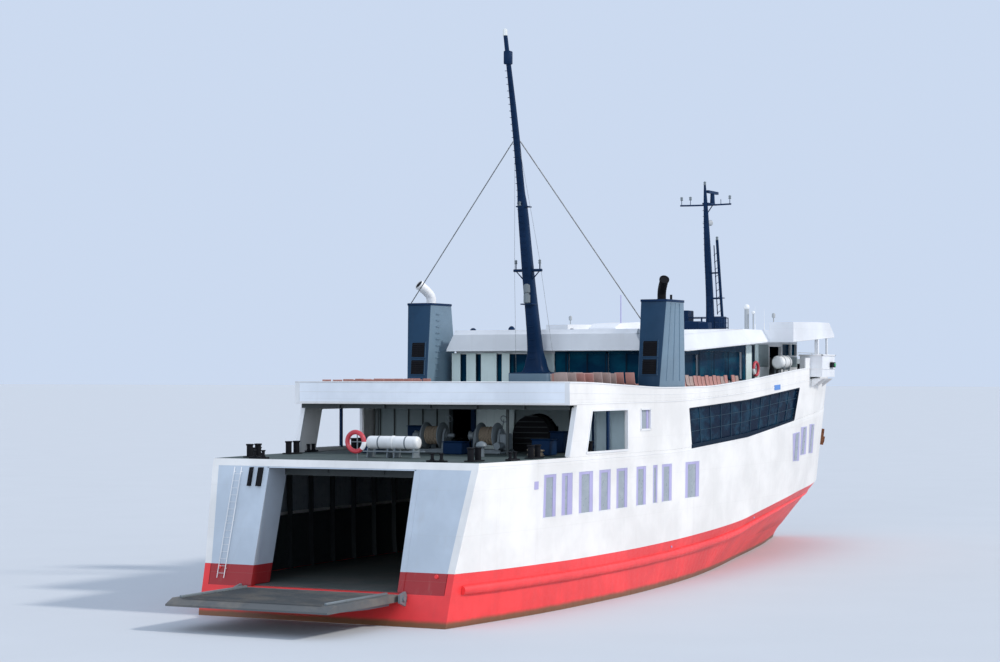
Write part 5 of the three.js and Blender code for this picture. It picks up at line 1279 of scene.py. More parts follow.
for side in (1, -1):
    y = sorted((side * 5.402, side * 5.412))
    B.box(21.82, 22.1, *y, 9.5, 11.44)
    B.box(28.42, 28.58, *y, 9.5, 11.60)
    B.box(34.85, 35.38, *y, z_d3(35.38) + 0.3, roof_z(34.85) - 0.01)
    for a, b in ((22.1, 28.42), (28.58, 34.85)):
        B.loft([[(a, y[0], roof_z(a) - 0.14), (a, y[1], roof_z(a) - 0.14), (a, y[1], roof_z(a) - 0.01), (a, y[0], roof_z(a) - 0.01)],
                [(b, y[0], roof_z(a) - 0.14), (b, y[1], roof_z(a) - 0.14), (b, y[1], roof_z(b) - 0.01), (b, y[0], roof_z(b) - 0.01)]])
for a, b in ((0.93, 1.02), (3.08, 3.2), (5.2, 5.41)):
    B.box(21.780, 21.795, a, b, 9.45, 11.45)
B.box(21.780, 21.795, 0.27, 5.41, 11.36, 11.49)
B.box(21.785, 21.80, 0.27, 0.93, 9.2, 11.36)
B.obj("deckhouse_dark_strips", GLASS, slot="dark_glass")
# pale shutters and door leaves on the port half of the after wall
B = Build()
for a, b in ((-5.6, -5.1), (-4.75, -4.2), (-3.9, -3.0), (-2.7, -2.25)):
    B.box(21.66, 21.70, a, b, DECK3_Z + 0.06, 11.42, c=0.008)
for a in (-5.35, -4.45, -3.45, -2.45):
    B.box(21.70, 21.795, a - 0.03, a + 0.03, 9.4, 9.46, c=0.005)
    B.box(21.70, 21.795, a - 0.03, a + 0.03, 11.3, 11.36, c=0.005)
B.box(21.77, 21.80, -0.35, 0.25, 9.2, 11.36, c=0.01)
B.obj("aft_wall_shutters", PALEPANEL, slot="white_paint")
# pale panels and a dark slit at the fore end of the side
B = Build()
for side in (1, -1):
    for a, b in ((35.39, 36.27), (36.82, 37.36)):
        B.box(a, b, side * 5.42, side * 5.46, z_d3(b) + 0.1, roof_z(a) - 0.1, c=0.01)
B.obj("deckhouse_side_panels", PALEPANEL, slot="white_paint")
B = Build()
for side in (1, -1):
    B.box(36.29, 36.80, side * 5.402, side * 5.43, z_d3(37) + 0.1, roof_z(36.2) - 0.1, c=0.01)
B.obj("deckhouse_side_slit", DARKBAR, slot="blue_grey_paint")
# roof edges: drip line and flashing
B = Build()
for side in (1, -1):
    B.path([(20.92, side * 5.51, roof_z(21) + 0.03), (23.45, side * 5.51, roof_z(23) + 0.03)], 0.016, 6)
    B.path([(s, side * 6.21, roof_z(s) + 0.03) for s in (23.55, 25, 30, 37.0)], 0.016, 6)
    B.path([(s, side * 7.61, roof_z(s) + 0.03) for s in (37.2, 40.0, 44.15)], 0.016, 6)
B.path([(20.89, -5.45, 11.53), (20.89, 5.45, 11.53)], 0.016, 6)
B.obj("roof_drip_edges", TRIM, slot="white_paint")
# low curb along the roof's edge
B = Build()
rt = lambda s: min(roof_z(s) + 0.85, 12.8) + 0.002
B.prism([(21.0, -5.12, rt(21)), (21.12, -5.12, rt(21) + 0.23), (21.3, -5.12, rt(21) + 0.23), (21.3, -5.12, rt(21))], (0, 10.24, 0))
for side in (1, -1):
    for pts_ in ([(21.1, 5.12), (23.58, 5.12)], [(23.5, 5.82), (25, 5.82), (30, 5.82), (34, 5.82)]):
        B.loft([[(s, side * u, rt(s)), (s, side * (u - 0.10), rt(s) + 0.23 * min(1, max(0, (34 - s) / 8))), (s, side * (u - 0.16), rt(s) + 0.23 * min(1, max(0, (34 - s) / 8))), (s, side * (u - 0.16), rt(s))] for s, u in pts_])
B.obj("roof_curb", WHITE_UP, slot="white_paint")
# roof gear
B = Build()
for s0, u0, h in ((24.1, -5.62, 0.42), (24.1, -3.35, 0.50), (24.1, 0.13, 0.34)):
    z = roof_z(s0) + 0.852
    B.lathe((s0, u0, z), (s0, u0, z + 1), [(0, 0.10), (h * 0.5, 0.10), (h * 0.52, 0.17), (h * 0.75, 0.17), (h * 0.95, 0.09), (h, 0.01)], n=20)
B.obj("roof_vents", MASTBLUE, slot="blue_grey_paint")
B = Build()
B.bar((30.0, 0.3, 12.602), (30.0, 0.3, 14.61), 0.035, 0.03, n=10)
B.obj("roof_pole", LILAC)
# ---------------------------------------------------------------- wheelhouse
wroof = lambda s: min(roof_z(s) + 0.85, 12.8)
B = Build()
z0, z1 = 11.4, 12.08
for a, b in ((-5.0, -3.5), (-3.2, -1.7), (-1.4, 1.4), (1.7, 3.2), (3.5, 5.0)):
    for p, q in (((a - 0.05, z0 - 0.05), (b + 0.05, z0 + 0.02)), ((a - 0.05, z1 - 0.02), (b + 0.05, z1 + 0.05)), ((a - 0.05, z0), (a + 0.02, z1)), ((b - 0.02, z0), (b + 0.05, z1))):
        B.box(43.96, 44.04, p[0], q[0], p[1], q[1], c=0.01)
B.box(43.9, 44.02, -0.04, 0.04, z0, z1, c=0.01)
for a, b in ((41.36, 42.84), (42.96, 43.85)):
    for side in (1, -1):
        for p, q in (((a - 0.04, z0 - 0.04), (b + 0.04, z0 + 0.02)), ((a - 0.04, z1 - 0.02), (b + 0.04, z1 + 0.04)), ((a - 0.04, z0), (a + 0.02, z1)), ((b - 0.02, z0), (b + 0.04, z1))):
            B.box(p[0], q[0], side * 5.375, side * 5.43, p[1], q[1], c=0.01)
for side in (1, -1):
    for p, q in (((39.13, 10.6), (39.2, 11.9)), ((41.1, 10.6), (41.17, 11.9)), ((39.13, 11.9), (41.17, 11.97))):
        B.box(p[0], q[0], side * 5.38, side * 5.44, p[1], q[1], c=0.008)
B.path([(44.12, -5.2, 11.1), (44.12, 5.2, 11.1)], 0.022, 8)
for u in np.arange(-5.0, 5.1, 1.25):
    B.bar((44.0, u, 11.1), (44.12, u, 11.1), 0.012, n=6)
B.obj("wheelhouse_window_frames", TRIM, slot="white_paint")
# grey panels over the white wheelhouse sides: painted shade
B = Build()
for side in (1, -1):
    y = sorted((side * 5.402, side * 5.43))
    B.box(41.22, 43.95, *y, 10.75, 11.33, c=0.01)
    B.box(37.45, 39.05, *y, 10.75, 12.0, c=0.01)
B.obj("wheelhouse_side_shade_panels", GREY_PANEL_AND_SHADE, slot="white_paint")
B = Build()
for u in (-4.2, -2.4, -0.7, 0.7, 2.4, 4.2):
    B.bar((44.06, u, 12.14), (44.06, u + 0.35, 11.7), 0.012, n=6)
    B.box(44.0, 44.10, u - 0.06, u + 0.06, 12.12, 12.2, c=0.01)
    B.bar((44.07, u + 0.33, 11.9), (44.07, u + 0.38, 11.5), 0.015, n=6)
B.obj("window_wipers", BLACK_AND_SHADE, slot="steel")
# bridge wings: cap rail, seams, side lights, and a searchlight
for name, side in SIDES:
    B = Build()
    for (a, b) in (((41.3, 6.5), (41.3, 7.85)), ((41.3, 7.85), (43.5, 7.85)), ((43.5, 7.85), (43.5, 6.5))):
        s0, s1 = sorted((a[0], b[0]))
        u0, u1 = sorted((a[1], b[1]))
        B.box(s0 - 0.06, s1 + 0.06, side * (u0 - 0.06), side * (u1 + 0.06), 11.38, 11.46, c=0.025)
    B.box(41.26, 43.54, side * 7.84, side * 7.89, 10.62, 10.67, c=0.015)
    B.box(41.26, 41.31, side * 6.5, side * 7.85, 10.62, 10.67, c=0.015)
    # raised plate on the ship's side by the wing
    hi_p = lambda s, z, o: (s, side * (half(s, z_rail(s)) + o), z)
    ss = [40.3, 41.3, 42.3, 43.4]
    B.loft([[hi_p(s, z_rail(s) - 0.02, 0.03), hi_p(s, 11.26, 0.03), hi_p(s, 11.26, -0.03), hi_p(s, z_rail(s) - 0.02, -0.03)] for s in ss])
    for s in (41.5, 42.4, 43.3):
        B.prism([(s, side * 7.15, 10.08), (s, side * 7.8, 10.08), (s, side * 7.15, 9.6)], (0.05, 0, 0))
    B.obj(f"bridge_wing_trim_{name}", TRIM, slot="white_paint")
    B = Build()
    B.box(42.6, 43.2, side * 7.87, side * 8.02, 10.72, 11.02, mat=0, c=0.02)
    B.box(42.95, 43.15, side * 7.88, side * 8.06, 10.76, 10.98, mat=1, c=0.03)
    B.obj(f"side_light_{name}", [BLACK_AND_SHADE, LAMPG if side == 1 else LAMPR])
B = Build()
for side in (1, -1):
    B.lathe((37.6, side * 6.26, 13.25), (37.6, side * 6.26, 15), [(0, 0.03), (0.22, 0.03), (0.24, 0.09), (0.42, 0.10), (0.48, 0.06), (0.50, 0.01)], n=16)
B.obj("wing_roof_lamps", GALV, slot="steel")

# gear on the wheelhouse roof
B = Build()
for u, h, r, rs in ((4.52, 14.28, 0.17, 0.13), (4.91, 13.9, 0.10, 0.04)):
    s = 38.0
    B.bar((s, u, wroof(s) + 0.003), (s, u, h - r * 0.9), rs, n=16, mat=1)
    B.ball((s, u, h - r), r, 20, 10, low=-0.75)
B.obj("roof_domes", [GRP, GALV], slot="white_plastic")
B = Build()
for s, u, h in ((38.0, 5.56, 14.0), (38.6, -2.2, 14.7), (40.2, 4.2, 14.2)):
    zb0 = wroof(s) + 0.003
    B.bar((s, u, zb0), (s, u, zb0 + 0.4), 0.028, n=8)
    B.bar((s, u, zb0 + 0.4), (s, u, h), 0.012, 0.007, n=6)
B.obj("whip_aerials", TRIM, slot="white_paint")
B = Build()
pts = [(41.0, -1.9, 12.802), (41.0, 1.4, 12.802), (43.2, 1.4, 12.802), (43.2, -1.9, 12.802), (41.0, -1.9, 12.802)]
railing(B, pts, 0.85, (1.0, 0.66, 0.33), r=0.03, post=0.8, wires=0.02)
B.box(42.0, 42.9, -1.15, -0.65, 12.802, 14.1, c=0.04)
B.box(39.9, 40.9, -0.9, 0.9, 12.802, 13.4, c=0.04)
B.box(39.0, 39.6, 1.2, 1.8, 12.802, 13.3, c=0.04)
B.obj("compass_platform", MASTBLUE, slot="blue_grey_paint")

# -------------------------------------------------------- funnels, smooth
def rounded(s0, s1, u0, u1, z0f, r=0.12, n=4):
    out = []
    for cx, cu, a0 in ((s1 - r, u1 - r, 0), (s0 + r, u1 - r, 90), (s0 + r, u0 + r, 180), (s1 - r, u0 + r, 270)):
        for k in range(n + 1):
            a = math.radians(a0 + 90 * k / n)
            x, y = cx + r * math.cos(a), cu + r * math.sin(a)
            out.append((x, y, z0f(x)))
    return out


for name, side in SIDES:
    B = Build()
    a0, f0, a1, f1, top = 19.35, 22.8, 19.85, 22.05, 13.95
    rings = []
    for t in np.linspace(0, 1, 9):
        sa, sf = a0 + (a1 - a0) * t, f0 + (f1 - f0) * t
        zf = (lambda tt: (lambda x: (z_d3(x) + 0.003) * (1 - tt) + top * tt))(t)
        rings.append(rounded(sa, sf, *sorted((side * 5.83, side * (6.97 + 0.23 * t))), zf, r=0.045, n=3))
    B.loft(rings)
    # thin rim and a low plinth
    zc = lambda z: (lambda x: z)
    lo_u, hi_u = sorted((side * 5.83, side * 7.2))
    B.loft([rounded(a1 - 0.02 - g, f1 + 0.02 + g, lo_u - g, hi_u + g, zc(z), r=0.05, n=3) for z, g in ((13.855, 0.0), (13.87, 0.022), (13.965, 0.022), (13.98, 0.0))], 2)
    B.loft([rounded(a0 - 0.10, f0 + 0.10, *sorted((side * 5.74, side * 6.99)), zc(z), r=0.04, n=2) for z in (DECK3_Z + 0.003, DECK3_Z + 0.22)], 2)
    # ribs on the outer flank
    for k in (1, 2, 3):
        sb, stt = a0 + (f0 - a0) * k / 4, a1 + (f1 - a1) * k / 4
        wo = lambda z: side * (6.97 + 0.23 * (z - 9.05) / 4.9 - 0.01)
        B.prism([(sb - 0.02, wo(10.0), 10.0), (sb + 0.02, wo(10.0), 10.0), (stt + 0.02, wo(13.8), 13.8), (stt - 0.02, wo(13.8), 13.8)], (0, side * 0.03, 0), 1)
    # frame round the louvres on the aft face
    xa = lambda z: a0 + (a1 - a0) * (z - 9.05) / (13.95 - 9.05)
    for z0, z1 in ((10.33, 11.05), (11.20, 11.94)):
        c = side * 6.43
        for p, q in (((c - 0.42, z0 - 0.05), (c + 0.42, z0)), ((c - 0.42, z1), (c + 0.42, z1 + 0.05)), ((c - 0.42, z0), (c - 0.37, z1)), ((c + 0.37, z0), (c + 0.42, z1))):
            B.prism([(xa(p[1]) - 0.04, p[0], p[1]), (xa(p[1]) + 0.05, p[0], p[1]), (xa(q[1]) + 0.05, p[0], q[1]), (xa(q[1]) - 0.04, p[0], q[1])], (0, q[0] - p[0], 0))
    ob = B.obj(f"funnel_casing_{name}", [BLUE, FLANK, MASTBLUE], slot="blue_grey_paint", replaces=(f"funnel_{name}",), smooth=35)
    for pg in ob.data.polygons:
        if pg.material_index == 0 and pg.normal.x > -0.75 and abs(pg.normal.z) < 0.7:
            pg.material_index = 1
    B = Build()
    for z0, z1 in ((10.33, 11.05), (11.20, 11.94)):
        c = side * 6.43
        B.prism([(xa(z0) - 0.005, c - 0.37, z0), (xa(z0) + 0.03, c - 0.37, z0), (xa(z1) + 0.03, c - 0.37, z1), (xa(z1) - 0.005, c - 0.37, z1)], (0, 0.74, 0))
        n = 7
        for k in range(n):
            z = z0 + 0.04 + (z1 - z0 - 0.06) * k / n
            B.prism([(xa(z) - 0.055, c - 0.37, z), (xa(z) - 0.045, c - 0.37, z - 0.02), (xa(z) + 0.01, c - 0.37, z + 0.06), (xa(z) + 0.0, c - 0.37, z + 0.08)], (0, 0.74, 0))
    B.obj(f"funnel_louvres_{name}", BLACK_AND_SHADE, slot="blue_grey_paint")
    # bent exhaust with an open dark mouth
    B = Build()
    m = side * 6.45
    path = [(21.0, m, 13.85), (21.0, m, 14.22), (20.97, m + side * 0.02, 14.34), (20.90, m + side * 0.06, 14.46), (20.76, m + side * 0.15, 14.62), (20.40, m + side * 0.39, 14.95)]
    er = 0.215 if side == 1 else 0.25
    B.path(path, er, 24)
    d = (Vector(path[-1]) - Vector(path[-2])).normalized()
    e = Vector(path[-1])
    B.lathe(e - d * 0.04, e + d, [(0, er + 0.001), (0.0, er + 0.03), (0.07, er + 0.03), (0.07, er - 0.01), (0.045, er - 0.02)], n=24)
    B.lathe(e - d * 0.01, e + d, [(0, er - 0.03), (0.018, er - 0.03)], n=24, mat=1)
    B.lathe((21.0, m, 13.98), (21.0, m, 15), [(0, 0.215), (0.0, 0.27), (0.04, 0.27), (0.04, 0.215)], n=24)
    B.bar((21.6, m + side * 0.25, 13.97), (21.6, m + side * 0.25, 14.25), 0.06, n=12)
    B.obj(f"exhaust_pipes_{name}", [BLACK_AND_SHADE if side == 1 else TRIM, BLACK_AND_SHADE], slot="steel")
    # handrail rungs up the funnel's inboard side, from its foot
    B = Build()
    for z in np.arange(9.9, 13.6, 0.32):
        x = a0 + 0.9 + (z - 9.05) * 0.03
        B.path([(x, side * 5.84, z), (x, side * 5.76, z), (x + 0.36, side * 5.76, z), (x + 0.36, side * 5.84, z)], 0.014, 6)
    B.obj(f"funnel_rungs_{name}", FLANK, slot="blue_grey_paint")


# --------------------------------------------------------------------- masts
def mast_ring(s, z, a, b, u=0.0, n=20, p=3.2):
    out = []
    for k in range(n):
        t = 2 * math.pi * k / n
        c, d = math.cos(t), math.sin(t)
        out.append((s + a * math.copysign(abs(c) ** (2 / p), c), u + b * math.copysign(abs(d) ** (2 / p), d), z))
    return out


sections = [(20.1, DECK3_Z + 0.003, 0.8, 1.22), (20.1, 10.38, 0.8, 1.22), (20.14, 10.44, 0.56, 0.66), (20.14, 11.0, 0.44, 0.46), (20.05, 11.6, 0.37, 0.36),
            (19.22, 15.5, 0.3, 0.27), (18.6, 18.7, 0.24, 0.22), (18.45, 19.4, 0.18, 0.17), (17.95, 21.9, 0.16, 0.15), (16.7, 27.0, 0.09, 0.09)]
fS, fA, fB_ = (pchip([q[1] for q in sections], [q[k] for q in sections]) for k in (0, 2, 3))
B = Build()
B.loft([mast_ring(fS(z), z, fA(z), fB_(z), p=9.0 if z < 10.4 else (4.5 if z < 11.3 else 3.2)) for z in [9.053, 9.3, 9.6, 9.9, 10.2, 10.36, 10.385, 10.44, 10.55, 10.75, 11.0, 11.3, 11.6, 12.4, 13.4, 14.4, 15.5, 17, 18.0, 18.7, 19.0, 19.2, 19.4, 20.3, 21.9, 23.5, 25.2, 26.2, 27.0]])
B.box(19.12, 19.30, -0.78, 0.78, 15.42, 15.56, c=0.03)
for u in (-0.66, 0.66):
    B.bar((19.21, u, 15.5), (19.21, u, 15.82), 0.03, n=10)
    B.prism([(19.19, u, 15.44), (19.19, u * 0.2, 14.87), (19.19, u * 0.2, 14.97), (19.19, u * 0.92, 15.44)], (0.04, 0, 0))
B.box(16.84, 17.2, -0.17, 0.17, 25.5, 26.15, c=0.03)
B.box(18.45, 19.05, -0.3, 0.3, 18.6, 18.66, c=0.01)
B.box(19.0, 19.6, -0.32, 0.32, 13.78, 13.84, c=0.01)
ob = B.obj("mainmast_tube", [MASTBLUE, FLANK], slot="blue_grey_paint", replaces=("mainmast",), smooth=45)
for pg in ob.data.polygons:
    if pg.center.z < 10.37 * SC and abs(pg.normal.z) < 0.7:
        pg.material_index = 1
# ladder on the mast's aft face
B = Build()
zs = np.arange(11.1, 25.2, 0.32)
for z in zs:
    x = fS(z) - fA(z)
    B.path([(x + 0.03, -0.13, z), (x - 0.10, -0.13, z), (x - 0.10, 0.13, z), (x + 0.03, 0.13, z)], 0.012, 5)
B.obj("mainmast_rungs", MASTBLUE, slot="blue_grey_paint")
B = Build()
for p in ((19.21, -0.66, 15.82), (19.21, 0.66, 15.82), (18.30, 0.0, 18.66)):
    B.lathe(p, (p[0], p[1], p[2] + 1), [(0, 0.07), (0.03, 0.08), (0.04, 0.06), (0.14, 0.06), (0.15, 0.08), (0.18, 0.06), (0.21, 0.015)], n=18)
B.lathe((19.10, 0.0, 13.84), (19.10, 0.0, 20), [(0, 0.10), (0.05, 0.17), (0.42, 0.17), (0.46, 0.12), (0.52, 0.12), (0.56, 0.17), (0.92, 0.17), (0.98, 0.08), (1.0, 0.01)], n=20)
B.obj("mast_lamps", STEEL, slot="steel")
B = Build()
B.lathe((16.69, 0.0, 26.86), (16.69, 0.0, 30), [(0, 0.10), (0.02, 0.12), (0.30, 0.11), (0.34, 0.05), (0.36, 0.01)], n=18)
B.obj("masthead_lamp", LAMPW)
# halyards and light rigging that stay with the mast
B = Build()
for a, b in (((17.96, 0.1, 21.8), (19.21, 0.74, 15.57)), ((17.96, -0.1, 21.8), (19.21, -0.74, 15.57)), ((19.21, 0.74, 15.42), (20.1, 1.1, 10.385)), ((19.21, -0.74, 15.42), (20.1, -1.1, 10.385))):
    B.bar(a, b, 0.008, n=5)
B.obj("halyards", WIRE, slot="steel")

# foremast with its yard, lattice leg and brackets
FM = dict(s=43.0, u=0.35, top_s=42.3)
z0 = 12.802
fsec = [(43.0, z0, 0.31), (43.0, z0 + 0.6, 0.25), (43.0 - 0.7 * 0.65, 18.0, 0.185), (42.3, 20.3, 0.12), (42.18, 21.5, 0.06)]
gS, gR = (pchip([q[1] for q in fsec], [q[k] for q in fsec]) for k in (0, 2))
B = Build()
B.loft([mast_ring(gS(z), z, gR(z), gR(z), u=0.35, n=16, p=2.4) for z in np.linspace(z0, 21.5, 22)])
B.path([(42.3, 0.35 + t * 1.6, 20.3 + 0.02 * abs(t) ** 2) for t in np.linspace(-1, 1, 9)], 0.05, 10)
for t in (-0.95, -0.6, 0.6, 0.95):
    B.bar((42.3, 0.35 + 1.6 * t, 20.3), (42.3, 0.35 + 1.6 * t, 20.62), 0.02, n=8)
B.box(42.26, 43.65, 0.15, 0.55, 20.36, 20.45, c=0.01)
B.bar((42.35, 0.35, 19.7), (43.4, 0.35, 20.36), 0.03, n=8)
leg = lambda z: (43.0 - 0.97 * (z - 12.9) / 5.3, 1.17, z)
B.path([leg(12.9), leg(18.2)], 0.085, 12)
B.path([(leg(13.85)[0] - 0.28, 1.30, 13.85), (leg(17.9)[0] - 0.18, 1.26, 17.9)], 0.035, 10)
B.path([(leg(13.85)[0] - 0.10, 0.92, 13.85), (leg(17.9)[0] - 0.06, 0.98, 17.9)], 0.030, 10)
for k, z in enumerate(np.arange(13.95, 17.6, 0.42)):
    a, b = leg(z), (leg(z + 0.42)[0] - 0.25, 1.28, z + 0.42)
    B.bar(a, b, 0.020, n=6)
    B.bar(a, (a[0] - 0.27, 1.29, z), 0.020, n=6)
    B.bar((a[0] - 0.09, 0.93, z), (a[0] - 0.27, 1.29, z + 0.2), 0.016, n=6)
B.bar((leg(16.3)[0], 1.19, 16.3), (42.70, 0.35, 16.3), 0.05, n=10)
B.bar((leg(14.8)[0], 1.17, 14.8), (42.86, 0.35, 14.8), 0.045, n=10)
B.box(leg(14.8)[0] - 0.3, leg(14.8)[0] + 0.3, 0.8, 1.3, 14.8, 14.85, c=0.01)
B.box(42.3, 43.1, 0.55, 1.35, z0, z0 + 0.93, c=0.03)
B.obj("foremast_tube", MASTBLUE, slot="blue_grey_paint", replaces=("foremast",), smooth=45)
B = Build()
for p in ((42.3, -1.17, 20.62), (42.3, 1.87, 20.62), (42.18, 0.35, 21.48), (leg(18.2)[0], 1.17, 18.2), (42.3, -0.61, 20.62)):
    B.lathe(p, (p[0], p[1], p[2] + 1), [(0, 0.07), (0.03, 0.09), (0.04, 0.07), (0.15, 0.07), (0.16, 0.09), (0.19, 0.07), (0.22, 0.02)], n=18)
B.obj("foremast_lamps", STEEL, slot="steel")
B = Build()
for z in np.arange(13.7, 20.0, 0.33):
    x = gS(z) - gR(z)
    B.path([(x + 0.03, 0.23, z), (x - 0.10, 0.23, z), (x - 0.10, 0.47, z), (x + 0.03, 0.47, z)], 0.011, 5)
B.obj("foremast_rungs", MASTBLUE, slot="blue_grey_paint")
B = Build()
B.lathe((43.25, 0.05, 19.35), (44.4, 0.05, 19.35), [(0, 0.05), (0.12, 0.05), (0.35, 0.09), (0.55, 0.18), (0.56, 0.16)], n=20)
B.box(42.45, 43.35, 0.1, 0.4, 19.2, 19.27, c=0.01)
B.obj("horn", GALV, slot="steel")

# ------------------------------------------------------------------ foredeck
W, R = Build(), Build()
zf = z_d3(50.6) + 0.003
winch(W, R, 49.6, 1.05, zf, w=0.95, drum=0.22, flange=0.44, motor=1, hc=0.6)
winch(W, R, 49.6, -1.05, zf, w=0.95, drum=0.22, flange=0.44, motor=-1, hc=0.6)
W.obj("windlass_frames", STEEL, slot="steel", replaces=("windlass",))
R.obj("windlass_rope_turns", ROPE)
B = Build()
for side in (1, -1):
    pts = [(50.35, side * 0.75, zf + 0.50), (51.2, side * 0.9, zf + 0.20), (51.9, side * 1.1, zf + 0.10)]
    P = [Vector(p) for p in pts]
    d1, d2 = P[1] - P[0], P[2] - P[1]
    k = 0
    for a, b in zip(P, P[1:]):
        L = (b - a).length
        n = int(L / 0.13)
        for i in range(n):
            c = a + (b - a) * ((i + 0.5) / n)
            ax = (b - a).normalized()
            nrm = Vector((0, 1, 0)) if k % 2 else ax.cross(Vector((0, 1, 0))).normalized()
            ring = []
            other = ax.cross(nrm).normalized()
            for j in range(12):
                t = 2 * math.pi * j / 12
                ring.append(c + ax * 0.10 * math.cos(t) + other * 0.055 * math.sin(t))
            B.path(ring, 0.02, 5, loop=True)
            k += 1
    B.lathe((51.95, side * 1.12, zf + 0.0), (51.95, side * 1.12, zf + 1), [(0, 0.26), (0.06, 0.26), (0.12, 0.20), (0.12, 0.12), (0.02, 0.11)], n=24)
B.obj("anchor_chains", RUST, slot="rusty_iron")
B = Build()
B.box(46.0, 47.2, -0.75, 0.75, z_d3(46.6), z_d3(46.6) + 0.5, c=0.04)
B.box(45.94, 47.26, -0.81, 0.81, z_d3(46.6) + 0.5, z_d3(46.6) + 0.57, c=0.02)
for s0, u0 in ((45.6, 3.4), (45.6, -3.4), (52.4, 0.0)):
    z = z_d3(s0)
    B.lathe((s0, u0, z), (s0, u0, z + 1), [(0, 0.16), (0.45, 0.16), (0.47, 0.32), (0.54, 0.33), (0.66, 0.26), (0.74, 0.12), (0.76, 0.01)], n=22)
B.obj("foredeck_hatch_and_vents", TRIM, slot="white_paint")
B = Build()
B.bar((55.3, 0, z_d3(55.3)), (55.7, 0, 13.4), 0.04, 0.02, n=10)
B.ball((55.71, 0, 13.42), 0.05, 12, 6)
for side in (1, -1):
    pts = [surf(s, z_rail(s) + 0.02, side, 0.06) for s in fill([46.5, 55.6], 0.9)]
    for p in pts:
        B.bar(p, (p[0], p[1], p[2] + 0.42), 0.018, n=8)
    B.path([(p[0], p[1], p[2] + 0.42) for p in pts], 0.022, 8)
B.obj("bow_rails_and_jackstaff", TRIM, slot="white_paint")

# anchor pockets and fairlead rings with black disks in them as painted shade for the dark hollows, and small fittings
# of the side
for name, side in SIDES:
    B = Build()
    def ring_on_side(s, z, R, r, mat=0, sq=1.0):
        c = Vector(surf(s, z, side, 0.0))
        t1 = (Vector(surf(s + 0.2, z, side)) - Vector(surf(s - 0.2, z, side))).normalized()
        t2 = (Vector(surf(s, z + 0.2, side)) - Vector(surf(s, z - 0.2, side))).normalized()
        pts = [c + t1 * R * sq * math.cos(2 * math.pi * k / 24) + t2 * R * math.sin(2 * math.pi * k / 24) for k in range(24)]
        B.path(pts, r, 8, mat, loop=True)
        nrm = t1.cross(t2).normalized()
        if nrm.y * side < 0:
            nrm = -nrm
        return c, nrm, t1, t2
    for s, z in ((50.6, 10.0), (47.2, 9.9)):
        ring_on_side(s, z + 0.25, 0.24, 0.05, sq=1.35)
    c, nrm, t1, t2 = ring_on_side(52.25, 7.70, 0.32, 0.05)
    # black disk in the hawse ring: painted shade for the pipe's hollow
    disk = [c - nrm * 0.0 + t1 * 0.33 * math.cos(2 * math.pi * k / 24) + t2 * 0.33 * math.sin(2 * math.pi * k / 24) for k in range(24)]
    B.prism(disk, tuple(nrm * 0.012), 1)
    # black disks in the fairlead rings: painted shade for their hollows
    for s, z in ((50.6, 10.25), (47.2, 10.15)):
        c = Vector(surf(s, z, side, 0.0))
        t1 = (Vector(surf(s + 0.2, z, side)) - Vector(surf(s - 0.2, z, side))).normalized()
        n2 = Vector((t1.y, -t1.x, 0)).normalized()
        if n2.y * side < 0:
            n2 = -n2
        disk = [c + t1 * 0.31 * math.cos(2 * math.pi * k / 24) + Vector((0, 0, 1)) * 0.23 * math.sin(2 * math.pi * k / 24) for k in range(24)]
        B.prism(disk, tuple(n2 * 0.012), 1)
    B.obj(f"hawse_and_fairlead_rings_{name}", [TRIM, BLACK_AND_SHADE], slot="white_paint")
    B = Build()
    # square scuttle aft, overboard discharges, small marks along the red line
    B.side_bar((5.55, 5.55), (5.90, 5.55), 0.34, side, -0.02, 0.02, mat=0)
    for s, dz in ((20.6, -0.3), (33.0, -0.28)):
        z = z_red(s) + dz
        c = Vector(surf(s, z, side))
        B.bar(c, c + Vector((0, side * 0.04, 0)), 0.05, n=18, mat=0)
    B.obj(f"side_fittings_{name}", LILAC)
B = Build()
B.side_bar((35.1, 9.59), (36.0, 9.63), 0.27, 1, -0.03, 0.02)
B.side_bar((35.1, 9.59), (36.0, 9.63), 0.27, -1, -0.03, 0.02)
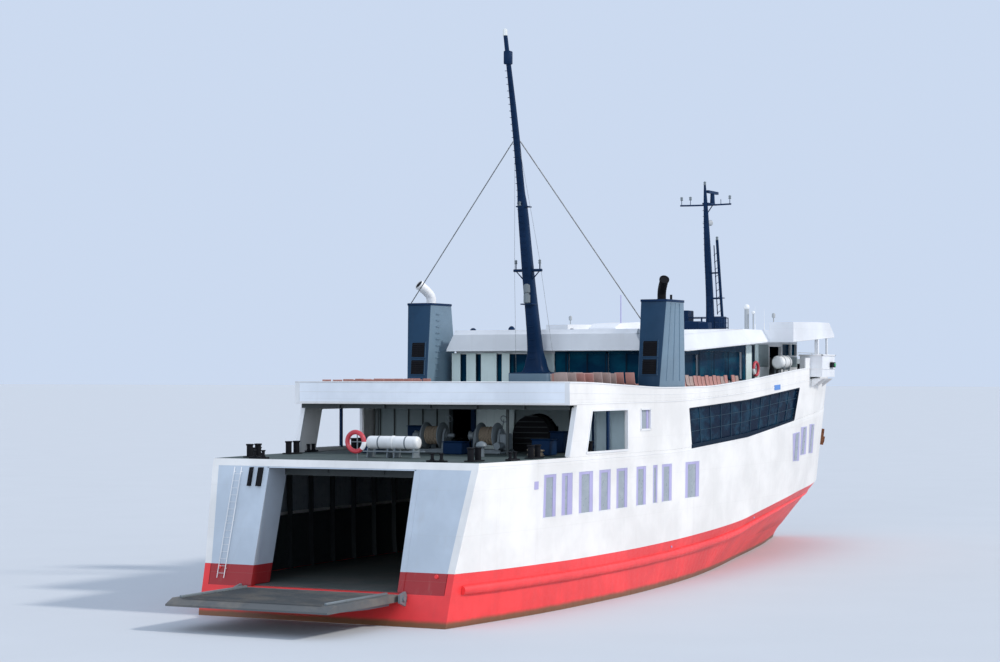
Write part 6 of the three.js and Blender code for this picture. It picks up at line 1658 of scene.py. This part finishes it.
B.obj("bulwark_plates", BLUEPLATE)

# ------------------------------------------------------ stage, light, camera
def make_floor():
    me = bpy.data.meshes.new("floor")
    R = 900.0
    me.from_pydata([(-R, -R, 0.0), (R, -R, 0.0), (R, R, 0.0), (-R, R, 0.0)], [], [[0, 1, 2, 3]])
    g = Graph("pale_floor")
    n = g.noise(0.35, 3.0, 0.5)
    g.out(g.mix(n, (0.55, 0.575, 0.60), (0.58, 0.605, 0.63)), 0.9)
    me.materials.append(g.m)
    o = bpy.data.objects.new("floor", me)
    scene.collection.objects.link(o)
    o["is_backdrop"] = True


make_floor()

world = bpy.data.worlds.new("studio")
scene.world = world
world.use_nodes = True
bg = world.node_tree.nodes["Background"]
bg.inputs[0].default_value = (0.60, 0.70, 0.87, 1.0)
bg.inputs[1].default_value = 1.0


def sun(name, toward, energy, angle, colour):
    d = bpy.data.lights.new(name, "SUN")
    d.energy, d.angle, d.color = energy, math.radians(angle), colour
    o = bpy.data.objects.new(name, d)
    scene.collection.objects.link(o)
    o.rotation_mode = "QUATERNION"
    o.rotation_quaternion = Vector(toward).to_track_quat("-Z", "Y")
    return o


sun("key_light", (-0.18, 0.78, -0.60), 2.1, 6.0, (1.0, 0.95, 0.90))
sun("fill_light", (0.75, 0.25, -0.55), 0.20, 40.0, (0.80, 0.88, 1.0))
sun("low_aft_light", (0.95, 0.12, -0.12), 0.72, 20.0, (0.84, 0.90, 1.0))

cam = bpy.data.cameras.new("camera")
cam_o = bpy.data.objects.new("camera", cam)
scene.collection.objects.link(cam_o)
scene.camera = cam_o
EYE = Vector((-54.0, -24.35, 5.15))
AIM = Vector((-0.816, 2.59, 6.324))
cam_o.location = EYE
cam_o.rotation_mode = "QUATERNION"
cam_o.rotation_quaternion = (AIM - EYE).to_track_quat("-Z", "Y")
cam.sensor_width = 36.0
cam.lens = 80.0
cam.clip_start, cam.clip_end = 0.5, 3000.0
cam.dof.use_dof = False

scene.view_settings.view_transform = "Standard"

lo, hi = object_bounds()
